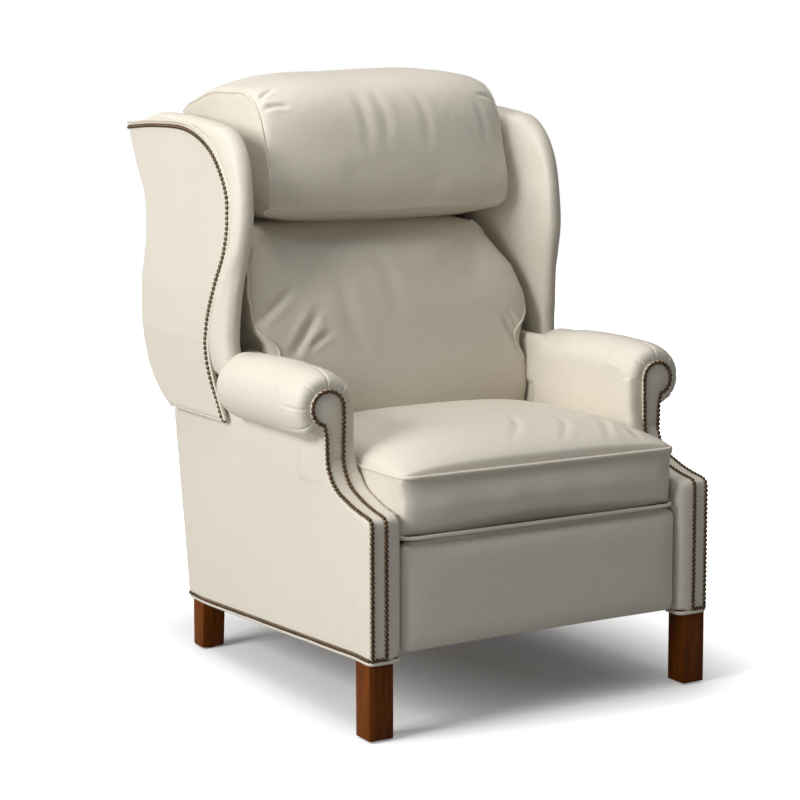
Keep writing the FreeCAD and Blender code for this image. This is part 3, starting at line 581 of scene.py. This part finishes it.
for side_name, side in SIDES:
    core = copy_of("roll_core", "arm_roll_" + side_name)
    core_points = points_of(core)
    centre = np.array((side * ROLL_CENTRE[0], ROLL_CENTRE[1])) / 1000
    spread = core_points[:, [0, 2]] - centre
    reach = np.maximum(np.linalg.norm(spread, axis=1, keepdims=True), 1e-6)
    inward = np.clip((FILL_EDGE - side * core_points[:, 0:1]) / FILL_FADE, 0, 1)
    fill = (core_points[:, 1:2] > FILL_FROM) & (reach > 0.03)
    fullness = np.where(fill, 1 + (FILL_RADIUS / reach - 1) * inward, 1)
    core_points[:, [0, 2]] = centre + spread * fullness
    along = (core_points[:, 1] * 1000 - ROLL_FRONT) / (ROLL_BACK - ROLL_FRONT)
    core_points[:, 2] += ARM_RISE / 1000 * np.sin(math.pi * np.clip(along, 0, 1))
    core_points[:, 1] = np.maximum(core_points[:, 1], ROLL_START)
    core_points[:, 0] = side * np.maximum(side * core_points[:, 0], ARM_INSIDE)
    move_points(core, core_points)
    neck = side_block(side, 318, 353.5, (-318, 410), (-225, 512))
    neck_points = points_of(neck)
    tapered = (neck_points[:, 1] > -0.25) | (neck_points[:, 2] < 0.42)
    neck_points[tapered, 0] = np.where(side * neck_points[tapered, 0] > 0.34, side * 0.348,
                                       neck_points[tapered, 0])
    move_points(neck, neck_points)
    tail = side_block(side, 285.5, 301.5, (-30, 520), (68, 594))
    behind = side_block(side, 299, 333, (-20, 498), (56, 578))
    front = arm_front("scroll_core", side, 40, 72, False)
    cover = soft_cover("side_cover_" + side_name, [n + side_name for n in SIDE_NODES], 0.0045, 6,
                       (core, neck, tail, behind, front), leave_out="arm_roll_" + side_name)
    for start, end, extent, rounds in SOFT_EDGES:
        soften(cover, (side * start[0], *start[1:]), (side * end[0], *end[1:]), extent, rounds)
    dress(cover, leather, "base")
    pleats = arm_front("arm_front_" + side_name, side, 110, 320, True)
    dress(pleats, leather, "base")


# Keyhole facings on the scrolls
FACING_FRONT = -323.5
FACING_RADIUS = 32.5
FACING_NAILS_RADIUS = 29.5
FACING_NAILS_FRONT = -322.5


def scroll_arc(radius, degrees):
    """Points in x and z round the middle of an arm's scroll."""
    angles = [math.radians(turn) for turn in degrees]
    return [(ROLL_CENTRE[0] + radius * math.cos(angle), ROLL_CENTRE[1] + radius * math.sin(angle))
            for angle in angles]


def keyhole():
    """Outline in x and z: up the inner side, over the scroll and back to the neck."""
    return ([(315.5, 444), (313, 474), (312, 500), (311.5, 520)]
            + scroll_arc(FACING_RADIUS, range(180, -76, -12))
            + [(350.5, 500), (350, 474), (348.5, 444)])


def facings():
    bm = bmesh.new()
    for side_name, side in SIDES:
        ring = [bm.verts.new(mm(side * x, FACING_FRONT, z)) for x, z in keyhole()]
        face = bm.faces.new(ring)
        back = bmesh.ops.extrude_face_region(bm, geom=[face])
        moved = [v for v in back["geom"] if isinstance(v, bmesh.types.BMVert)]
        bmesh.ops.translate(bm, verts=moved, vec=mm(0, 5, 0))
    bmesh.ops.recalc_face_normals(bm, faces=bm.faces)
    item = new_object("arm_facing_covers", mesh_from("arm_facing_covers", bm))
    modify(item, "BEVEL", width=0.0012, segments=2, limit_method="ANGLE")
    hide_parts("arm_facings")
    dress(item, leather, "base")
    pick(item)
    bpy.ops.object.shade_smooth_by_angle(angle=math.radians(40))


facings()

# Front row of nails: up the outer edge of the post, round the scroll, down the inner edge
POST_PATH = [(-470, 141), (-470, 250), (-470, 352), (-466.5, 370), (-455, 377), (-415, 384.5),
             (-375, 397.5), (-347, 414), (-328, 440), (-321, 472), (-320.5, 487)]


def post_edge(x_low, x_high):
    """Points and outward directions up the post's front face and over the ogee."""
    path = smooth_line(POST_PATH, 60)
    step = np.gradient(path, axis=0)
    spots = []
    for (y, z), (step_y, step_z) in zip(path, step):
        x = x_low + (x_high - x_low) * min(1, max(0, (z - 377) / 100))
        spots.append((np.array((x, y, z)), np.array((0, -step_z, step_y))))
    return spots


def front_row(side):
    """Places and outward directions up the post's outer edge, round the scroll and down."""
    front = np.array((0, -1.0, 0))
    scroll = [(np.array((x, FACING_NAILS_FRONT, z)), front)
              for x, z in scroll_arc(FACING_NAILS_RADIUS, range(-76, 181, 8))]
    inner = [(np.array((314.5, FACING_NAILS_FRONT, z)), front) for z in (520, 505)]
    spots = post_edge(344, 347) + scroll + inner + post_edge(318, 315.5)[::-1]
    placed = []
    for place, outward in spots:
        outward = outward / np.linalg.norm(outward)
        spot = place / 1000
        placed.append(((side * spot[0], spot[1], spot[2]),
                       (side * outward[0], outward[1], outward[2])))
    return placed


def seated(row, *items, lift=0.0007):
    """A row of nails moved in along its outward directions to the first piece they meet."""
    trees = [tree_of(item) for item in items]
    laid = []
    for place, outward in row:
        outward = Vector(outward).normalized()
        start = Vector(place) + outward * 0.02
        hits = [tree.ray_cast(start, -outward, 0.034) for tree in trees]
        hits = [hit for hit in hits if hit[0]]
        if hits:
            spot, normal = min(hits, key=lambda hit: hit[3])[:2]
            turned = (outward * 1.5 + normal).normalized()
            laid.append((spot + turned * lift, turned))
    return laid


def below_row(side):
    """Nails along the bottom of the post and of the side panel."""
    short = [((side * x / 1000, -0.4705, 0.1412), (0, -1, 0)) for x in (318, 344)]
    narrowing = 16 / 790
    long = []
    for y, z in ((-464, 141.5), (-420, 141.5), (190, 104.5), (252, 104.5)):
        x = 350.4 - (y + 470) * narrowing
        long.append(((side * x / 1000, y / 1000, z / 1000), (side, 0, 0)))
    return short, long


# The edge of the leather under the nails, round the front corner of the post
FOOT_TURN = [(289, -430), (289, -458), (292, -466), (300, -469), (339, -469), (345.5, -467),
             (348, -461)]
for side_name, side in SIDES:
    skin = bpy.data.objects["side_cover_" + side_name]
    parts = [skin, *(bpy.data.objects[name]
                     for name in ("arm_facing_covers", "arm_front_" + side_name))]
    nail_row("nails_front_" + side_name, seated(front_row(side), *parts), "base")
    short, long = below_row(side)
    nail_row("nails_post_foot_" + side_name, seated(short, skin), "base")
    long = evenly([[*place, *outward] for place, outward in long], 90, measured=3)
    long = seated([(row[:3], row[3:] + (0, -0.3, 0)) for row in long], skin)
    nail_row("nails_side_foot_" + side_name, long, "base")
    under = [mm(side * x, y, 135.2) for x, y in FOOT_TURN]
    under += [Vector(place) + mm(-side * 2.5, 0, -6.5) for place, outward in long[2:]]
    welt("welt_foot_" + side_name, smooth_line(under, 90), 0.0034, "base")

# Wings: flat outside panel with nails along its edge, padded roll inside and in front
WING_NAILS = [(471, 992), (338, 998), (198, 993), (97, 958), (37, 897), (22, 845), (41, 781),
              (97, 704), (129, 626), (119, 554), (62, 468)]
WING_WELT = [(470, 1001), (338, 1007), (195, 1002), (90, 966), (28.5, 900), (13.5, 845),
             (32.5, 781), (88.5, 704), (120.5, 626), (111.5, 554), (55, 468)]
WING_LEAN = {"left": [(466, 0), (554, 7), (610, 12), (700, 12), (800, 6), (900, 2), (1000, 0)],
             "right": [(466, 6), (600, 12), (650, 11), (700, 5), (770, -3.5), (850, -8),
                       (1000, -8)]}
WING_RISE = {"left": [(0, 0), (1, 0)], "right": [(800, 0), (900, 8), (985, 17), (1010, 18)]}
PAD_SWEEP = {"left": [(0, 0), (1, 0)], "right": [(620, 0), (720, 26), (812, 62), (1000, 62)]}
PAD_THINNING = [(600, 11), (900, 10), (960, 4), (1000, 0)]
WING_NAIL_PITCH = 0.0093
WING_FORWARD = [(468, 0), (554, 18), (626, 28), (704, 28), (781, 10), (845, 0)]


def along_z(pairs, z):
    return np.interp(z, [pair[0] for pair in pairs], [pair[1] for pair in pairs])


def leaned(points, side_name):
    """Points of a wing moved as the photo shows it: leaning out below, fuller in front."""
    points = np.array(points, float) * 1000
    side = dict(SIDES)[side_name]
    z = points[:, 2].copy()
    low_edge = sorted((z, y) for y, z in WING_NAILS[4:])
    front = along_z(low_edge, z)
    near = np.clip(1 - (points[:, 1] - front - 5) / 60, 0, 1)
    points[:, 0] += side * along_z(WING_LEAN[side_name], z)
    points[:, 1] -= along_z(WING_FORWARD, z) * near
    points[:, 2] += along_z(WING_RISE[side_name], z)
    return points / 1000


def lean(item, side_name):
    move_points(item, leaned(points_of(item), side_name).astype(np.float32))


for side_name, side in SIDES:
    panel = soft_cover("wing_panel_cover_" + side_name, ["wing_panel_" + side_name], 0.004, 4)
    lean(panel, side_name)
    dress(panel, leather, "back")
    pad = soft_cover("wing_pad_cover_" + side_name, ["wing_pad_" + side_name], 0.0065, 6)
    inflate(pad, -0.003)
    puff(pad, 3.0, 8, 0.009)
    modify(pad, "SMOOTH", factor=0.5, iterations=4)
    pad_points = points_of(pad)
    inner = np.clip((340 - 1000 * side * pad_points[:, 0]) / 36, 0, 1)
    pad_points[:, 0] += side * inner * along_z(PAD_THINNING, 1000 * pad_points[:, 2]) / 1000
    points = leaned(pad_points, side_name)
    edge_y = along_z(sorted((z, y - 9) for y, z in WING_NAILS[4:]), 1000 * pad_points[:, 2])
    ahead = np.clip(1 - (edge_y / 1000 - pad_points[:, 1]) / 0.055, 0, 1)
    outer = np.clip((1000 * side * pad_points[:, 0] - 322) / 22, 0, 1)
    shift = along_z(WING_FORWARD, 1000 * pad_points[:, 2]) / 1000
    behind = np.clip((pad_points[:, 1] - 0.035) / 0.12, 0, 1)
    swept = along_z(PAD_SWEEP[side_name], 1000 * pad_points[:, 2]) / 1000 * behind
    points[:, 0] -= side * inner * swept
    points[:, 1] = pad_points[:, 1] - shift * ahead * outer
    move_points(pad, points.astype(np.float32))
    modify(pad, "SMOOTH", factor=0.5, iterations=6)
    modify(pad, "SUBSURF", levels=1)
    dress(pad, leather, "back")
    edge, line = [
        leaned(smooth_line([(side * x, y, z) for y, z in outline], 120) / 1000, side_name)
        for x, outline in ((354.4, WING_NAILS), (352.5, WING_WELT))]
    outward = [Vector((side, 0, 0)) + Vector(far - near).normalized() * 0.5
               for near, far in zip(edge, line)]
    row = seated(zip(edge, outward), panel, pad, lift=0.0012)
    nail_row("nails_wing_" + side_name, row, "back", WING_NAIL_PITCH)
    welt("welt_wing_" + side_name, line, 0.0024, "back")
    under = smooth_line([(side * 349, y, 466) for y in (62, 120, 200, 296)], 20) / 1000
    welt("welt_wing_foot_" + side_name, leaned(under, side_name), 0.0034, "back")

# Back panels
outside_back = soft_cover("outside_back_cover", ["outside_back"], 0.005, 4)
back_points = points_of(outside_back)
for side_name, side in SIDES:
    at_edge = np.clip((1000 * side * back_points[:, 0] - 250) / 70, 0, 1)
    outward = along_z(WING_LEAN[side_name], 1000 * back_points[:, 2])
    back_points[:, 0] += side * at_edge * outward / 1000
move_points(outside_back, back_points)
dress(outside_back, leather, "back")
dress(soft_cover("inside_back_cover", ["inside_back"], 0.004, 3), leather, "back")

# Seat cushion: boxed, with a welt round its top and bottom edges
SEAT_SEAMS = (333, 434)
SEAT_TOP = 0.434
SEAT_FLOOR = 0.3275
SEAT_HALF = 0.2845
SEAT_CLEAR = 0.2843
SEAT_MIDDLE = -0.222
SEAT_REACH = 0.243
SEAT_FOLDS = ([(150, -440), (182, -385), (196, -330)], [(212, -445), (222, -400), (216, -350)],
              [(60, -430), (96, -385), (112, -335)], [(-40, -420), (4, -370), (30, -310)])


def cushion_ring(z, half=284, front=-462, back=18, corner=16):
    ring = []
    centres = ((half - corner, front + corner, -90), (half - corner, back - corner, 0),
               (corner - half, back - corner, 90), (corner - half, front + corner, 180))
    for x, y, start in centres:
        for degrees in range(start, start + 91, 15):
            angle = math.radians(degrees)
            ring.append((x + corner * math.cos(angle), y + corner * math.sin(angle), z))
    return np.array(ring) / 1000


def closed_line(ring):
    return np.concatenate([ring, ring[:1]])


seat = soft_cover("seat_cushion_cover", ["seat_cushion"], 0.007, 4)
seat_seams = [cushion_ring(z) for z in SEAT_SEAMS]
puff(seat, 4.0, 16, 0.022, [closed_line(ring) for ring in seat_seams], half_width=SEAT_HALF)
relax(seat, [closed_line(ring) for ring in seat_seams], 0.02, 70)
seat_points = points_of(seat)
seat_points[:, 2] = np.maximum(seat_points[:, 2], SEAT_FLOOR)
over_width = np.clip(1 - np.abs(seat_points[:, 0] / SEAT_HALF) ** 2.6, 0, 1)
over_depth = np.clip(1 - np.abs((seat_points[:, 1] - SEAT_MIDDLE) / SEAT_REACH) ** 2.6, 0, 1)
height = seat_points[:, 2].max() + 0.004 - SEAT_TOP
crown = SEAT_TOP + height * (over_width * over_depth) ** 0.45
on_top = np.clip((seat_points[:, 2] - 0.4335) / 0.0035, 0, 0.9)
seat_points[:, 2] += (crown - seat_points[:, 2]) * on_top
waves = 0.0009 * np.sin(seat_points[:, 0] * 61 + 0.7 * np.sin(seat_points[:, 0] * 23))
boxing = np.clip(1 - np.abs(seat_points[:, 2] - 0.385) / 0.045, 0, 1)
in_front = np.clip((-0.435 - seat_points[:, 1]) / 0.015, 0, 1)
seat_points[:, 1] -= (0.0055 + waves) * boxing * in_front
widened = seat_points[:, 0] * (1 + 0.022 * boxing * in_front)
seat_points[:, 0] = np.clip(widened, -SEAT_CLEAR, SEAT_CLEAR)
move_points(seat, seat_points.astype(np.float32))
modify(seat, "SUBSURF", levels=1)
for line in SEAT_FOLDS:
    seat_tree = tree_of(seat)
    laid = [seat_tree.ray_cast(mm(x, y, 600), Vector((0, 0, -1)))[0]
            for x, y in smooth_line(line, 20)]
    fold(seat, laid, 0.0014, 0.007)
dress(seat, leather, "seat")
for label, ring in zip(("low", "top"), seat_seams):
    laid = cushion_ring(1000 * ring[0][2] + 2.5, 280.8, -464.5, 19.5, 24)
    welt("welt_seat_" + label, evenly(closed_line(laid), 160)[:-1], 0.0036, "seat", closed=True)

# Lumbar cushion, boxed at the sides
LUMBAR_SEAM = [(206, 812), (243, 770), (274, 723), (288, 675), (287, 632), (262, 602), (254, 583),
               (264, 552), (270, 520), (274, 480), (273, 440), (271, 400), (270, 352)]
LUMBAR_FULL = [(605, 1.0), (640, 1.035), (675, 1.05), (723, 1.08), (770, 1.18), (812, 1.38)]
LUMBAR_WIDENING = 0.045
LUMBAR_BETWEEN_ARMS = 0.2835
LUMBAR_HALF = 0.303


def fuller(x, z):
    """Widening of the lumbar cushion's left shoulder, which fills out to the wing."""
    return np.where(np.asarray(x) < 0, along_z(LUMBAR_FULL, np.asarray(z) * 1000), 1)


def low_on_lumbar(z):
    """How far a height lies down between the arms, from 0 above them to 1."""
    return np.clip((0.600 - z) / 0.06, 0, 1)


lumbar = soft_cover("lumbar_cover", ["lumbar_cushion"], 0.0075, 4)
inflate(lumbar, -0.003)
lumbar_seams = [on_front(lumbar, [(side * x, z) for x, z in LUMBAR_SEAM], 60)
                for _, side in SIDES]
puff(lumbar, 4.0, 12, 0.022, lumbar_seams, half_width=0.300)
modify(lumbar, "SMOOTH", factor=0.5, iterations=3)
relax(lumbar, lumbar_seams, 0.03, 12)
lumbar_points = points_of(lumbar)
low_down = low_on_lumbar(lumbar_points[:, 2])
widened = np.clip(lumbar_points[:, 0] * (1 + LUMBAR_WIDENING * low_down),
                  -LUMBAR_BETWEEN_ARMS, LUMBAR_BETWEEN_ARMS)
lumbar_points[:, 0] = np.where(low_down > 0, widened, lumbar_points[:, 0])
lumbar_points[:, 0] *= fuller(lumbar_points[:, 0], lumbar_points[:, 2])
lumbar_points[:, 0] = np.clip(lumbar_points[:, 0], -LUMBAR_HALF, LUMBAR_HALF)
move_points(lumbar, lumbar_points)
modify(lumbar, "SUBSURF", levels=1)
LUMBAR_FOLDS = (
    ([(-296, 648), (-261, 673), (-223, 703)], 4.5, 7),
    ([(-231, 585), (-205, 621), (-176, 662)], 5.0, 8),
    ([(-198, 595), (-176, 611), (-154, 621)], 3.0, 6),
    ([(232, 624), (254, 591), (270, 563)], 4.5, 7),
    ([(246, 635), (265, 600), (274, 572)], 3.0, 5),
    ([(-120, 723), (-111, 650), (-87, 605)], 2.5, 14),
    ([(-36, 758), (-17, 714), (-7, 653)], 2.0, 14),
)
for line, depth, width in LUMBAR_FOLDS:
    fold(lumbar, on_front(lumbar, line), depth / 1000, width / 1000)
dress(lumbar, leather, "back")
for (side_name, side), seam in zip(SIDES, lumbar_seams):
    seam = [Vector((p.x * (1 + LUMBAR_WIDENING * low_on_lumbar(p.z)) * fuller(p.x, p.z),
                    p.y, p.z)) for p in seam]
    welt("welt_lumbar_" + side_name, snapped(lumbar, seam, -0.0006), 0.0026, "back")

# Head pillow: a bolster with piped end caps
PILLOW_AXIS = (0.235, 0.935)
PILLOW_CAP = 0.256
PILLOW_CORNER = 0.15
PILLOW_LIFT = 0.012
PILLOW_RIGHT_END = [(-0.05, 0), (0.1, 0.008), (0.2, 0.016), (0.256, 0.02)]


def section_line(item, x, centre, first, last, count):
    """Points round the piece in the plane at x, by degrees from the back over the top."""
    tree = tree_of(item)
    laid = []
    for degrees in np.linspace(first, last, count):
        angle = math.radians(degrees)
        outward = Vector((0, math.cos(angle), math.sin(angle)))
        start = Vector((x, centre[0], centre[1])) + outward * 0.5
        hit = tree.ray_cast(start, -outward)[0]
        if hit:
            laid.append(hit)
    return laid


pillow = soft_cover("head_pillow_cover", ["head_pillow"], 0.0075, 4)
inflate(pillow, -0.003)
pillow_seams = [section_line(pillow, side * PILLOW_CAP, PILLOW_AXIS, 25, 218, 70)
                for _, side in SIDES]
puff(pillow, 4.0, 12, 0.024, pillow_seams, half_width=0.285)
modify(pillow, "SMOOTH", factor=0.5, iterations=3)


def boxier(points):
    """Points of the pillow moved to its flatter front and fuller right end."""
    points = np.array(points, float)
    from_axis = points[:, 1:] - PILLOW_AXIS
    unit = from_axis / np.maximum(np.linalg.norm(from_axis, axis=1, keepdims=True), 1e-6)
    corner = (unit[:, 0] < 0) * (2 * np.abs(unit[:, 0] * unit[:, 1])) ** 2 * PILLOW_CORNER
    points[:, 1] += from_axis[:, 0] * corner
    points[:, 2] += np.where(unit[:, 1] > 0, from_axis[:, 1] * corner,
                             PILLOW_LIFT * (unit[:, 1] < -0.5))
    right_end = np.interp(points[:, 0], *zip(*PILLOW_RIGHT_END))
    points[:, 2] += right_end * np.clip((points[:, 2] - 0.90) / 0.1, 0, 1)
    return points


relax(pillow, pillow_seams, 0.03, 30)
move_points(pillow, boxier(points_of(pillow)).astype(np.float32))
modify(pillow, "SUBSURF", levels=1)
PILLOW_FOLDS = (
    ([(-250, 1044), (-236, 1056), (-214, 1066)], 4.0, 4.5),
    ([(-246, 1030), (-230, 1036), (-205, 1036)], 3.5, 4.5),
    ([(252, 1040), (236, 1052), (214, 1056)], 3.5, 4.5),
    ([(-60, 1060), (-54, 1010), (-56, 960)], 1.4, 9),
    ([(-18, 1062), (-10, 1010), (-14, 970)], 1.4, 9),
    ([(70, 1060), (78, 1010), (76, 965)], 1.3, 9),
    ([(200, 1040), (210, 1005), (212, 975)], 1.6, 7),
)
for line, depth, width in PILLOW_FOLDS:
    fold(pillow, on_front(pillow, line), depth / 1000, width / 1000)
dress(pillow, leather, "back")
for (side_name, side), seam in zip(SIDES, pillow_seams):
    welt("welt_pillow_" + side_name, snapped(pillow, boxier(seam), -0.0006), 0.0028, "back")

# Footrest pad
footrest = soft_cover("footrest_cover", ["footrest_pad", "footrest_board"], 0.006, 5)
puff(footrest, 2.0, 8, 0.006, half_width=SEAT_HALF)
modify(footrest, "SMOOTH", factor=0.5, iterations=3)
modify(footrest, "SUBSURF", levels=1)
dress(footrest, leather, "footrest")

# Legs
for side_name, side in SIDES:
    for place in ("leg_front_", "leg_rear_"):
        leg = copy_of(place + "wood_" + side_name, place + side_name)
        modify(leg, "BEVEL", width=0.0025, segments=3, limit_method="ANGLE")
        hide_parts(place + side_name)
        dress(leg, mahogany, "base")
        pick(leg)
        bpy.ops.object.shade_smooth_by_angle(angle=math.radians(35))

# Floor: a painted glow, seen by the camera only, grows from this box out to white, painting the
# floor lit white beyond the chair's shadow
SHADOW_BOX = (0.20, 0.32, 0)
SHADOW_FADE = 0.6
bpy.ops.mesh.primitive_plane_add(size=14, location=(0, 0, 0))
floor = bpy.context.object
floor.name = "floor"
floor_material = bpy.data.materials.new("floor")
floor_material.use_nodes = True
floor_tree = floor_material.node_tree
floor_tree.nodes.clear()
seen = shader_node(floor_tree, "LightPath").outputs["Is Camera Ray"]
# The camera sees a near-white floor; light bouncing off it sees a grey one, so less bounce light
# reaches the chair
grey = shader_node(floor_tree, "MapRange", {"Value": seen, "To Min": 0.4, "To Max": 0.95})
matte = shader_node(floor_tree, "BsdfDiffuse", {"Color": grey.outputs[0]})
spot = shader_node(floor_tree, "TexCoord").outputs["Object"]
folded = shader_node(floor_tree, "VectorMath", {0: spot}, operation="ABSOLUTE")
inset = shader_node(floor_tree, "VectorMath", {0: folded.outputs[0], 1: SHADOW_BOX},
                    operation="SUBTRACT")
beyond = shader_node(floor_tree, "VectorMath", {0: inset.outputs[0], 1: (0, 0, 0)},
                     operation="MAXIMUM")
away = shader_node(floor_tree, "VectorMath", {0: beyond.outputs[0]}, operation="LENGTH")
fade = shader_node(floor_tree, "MapRange", {"Value": away.outputs["Value"], "From Max": SHADOW_FADE,
                                            "To Min": 0.05}, interpolation_type="SMOOTHSTEP")
strength = math_node(floor_tree, "MULTIPLY", fade.outputs[0], seen)
# Painted light: camera-only emission that whitens the floor outside the chair's shadow
glow = shader_node(floor_tree, "Emission", {"Strength": strength})
both = shader_node(floor_tree, "AddShader", {0: matte.outputs[0], 1: glow.outputs[0]})
ending = floor_tree.nodes.new("ShaderNodeOutputMaterial")
floor_tree.links.new(both.outputs[0], ending.inputs["Surface"])
floor.data.materials.append(floor_material)


# Light

def area_light(name, place, target, size, power):
    data = bpy.data.lights.new(name, "AREA")
    data.shape = "RECTANGLE"
    data.size, data.size_y = size
    data.energy = power
    item = bpy.data.objects.new(name, data)
    scene.collection.objects.link(item)
    item.location = place
    item.rotation_euler = (Vector(target) - Vector(place)).to_track_quat("-Z", "Y").to_euler()


area_light("side", (-4.0, -0.4, 2.15), (0, 0, 0.55), (2.0, 2.0), 168)
area_light("overhead", (-0.3, 0.1, 3.6), (0, 0, 0.5), (2.6, 2.6), 66)

world = bpy.data.worlds.new("studio")
scene.world = world
world.use_nodes = True
world_tree = world.node_tree
world_tree.nodes.clear()
plain = shader_node(world_tree, "Background", {"Color": (1, 1, 1, 1), "Strength": 0.20})
white = shader_node(world_tree, "Background", {"Color": (1, 1, 1, 1), "Strength": 1.0})
path = shader_node(world_tree, "LightPath")
shown = shader_node(world_tree, "MixShader", {0: path.outputs["Is Camera Ray"],
                                              1: plain.outputs[0], 2: white.outputs[0]})
world_end = world_tree.nodes.new("ShaderNodeOutputWorld")
world_tree.links.new(shown.outputs[0], world_end.inputs["Surface"])
scene.view_settings.view_transform = "Standard"

# Camera, as fitted to the photo
CAMERA_PLACE = (-2.033, -3.427, 1.097)
CAMERA_FORWARD = (0.5198, 0.8448, -0.127)
camera_data = bpy.data.cameras.new("camera")
camera_data.sensor_width = 36
camera_data.lens = 96.2
camera_data.shift_x = -0.051
camera_data.shift_y = -0.067
camera = bpy.data.objects.new("camera", camera_data)
scene.collection.objects.link(camera)
forward = Vector(CAMERA_FORWARD).normalized()
right = forward.cross(Vector((0, 0, 1))).normalized()
up = right.cross(forward)
camera.matrix_world = Matrix((
    (right.x, up.x, -forward.x, CAMERA_PLACE[0]),
    (right.y, up.y, -forward.y, CAMERA_PLACE[1]),
    (right.z, up.z, -forward.z, CAMERA_PLACE[2]),
    (0, 0, 0, 1),
))
scene.camera = camera
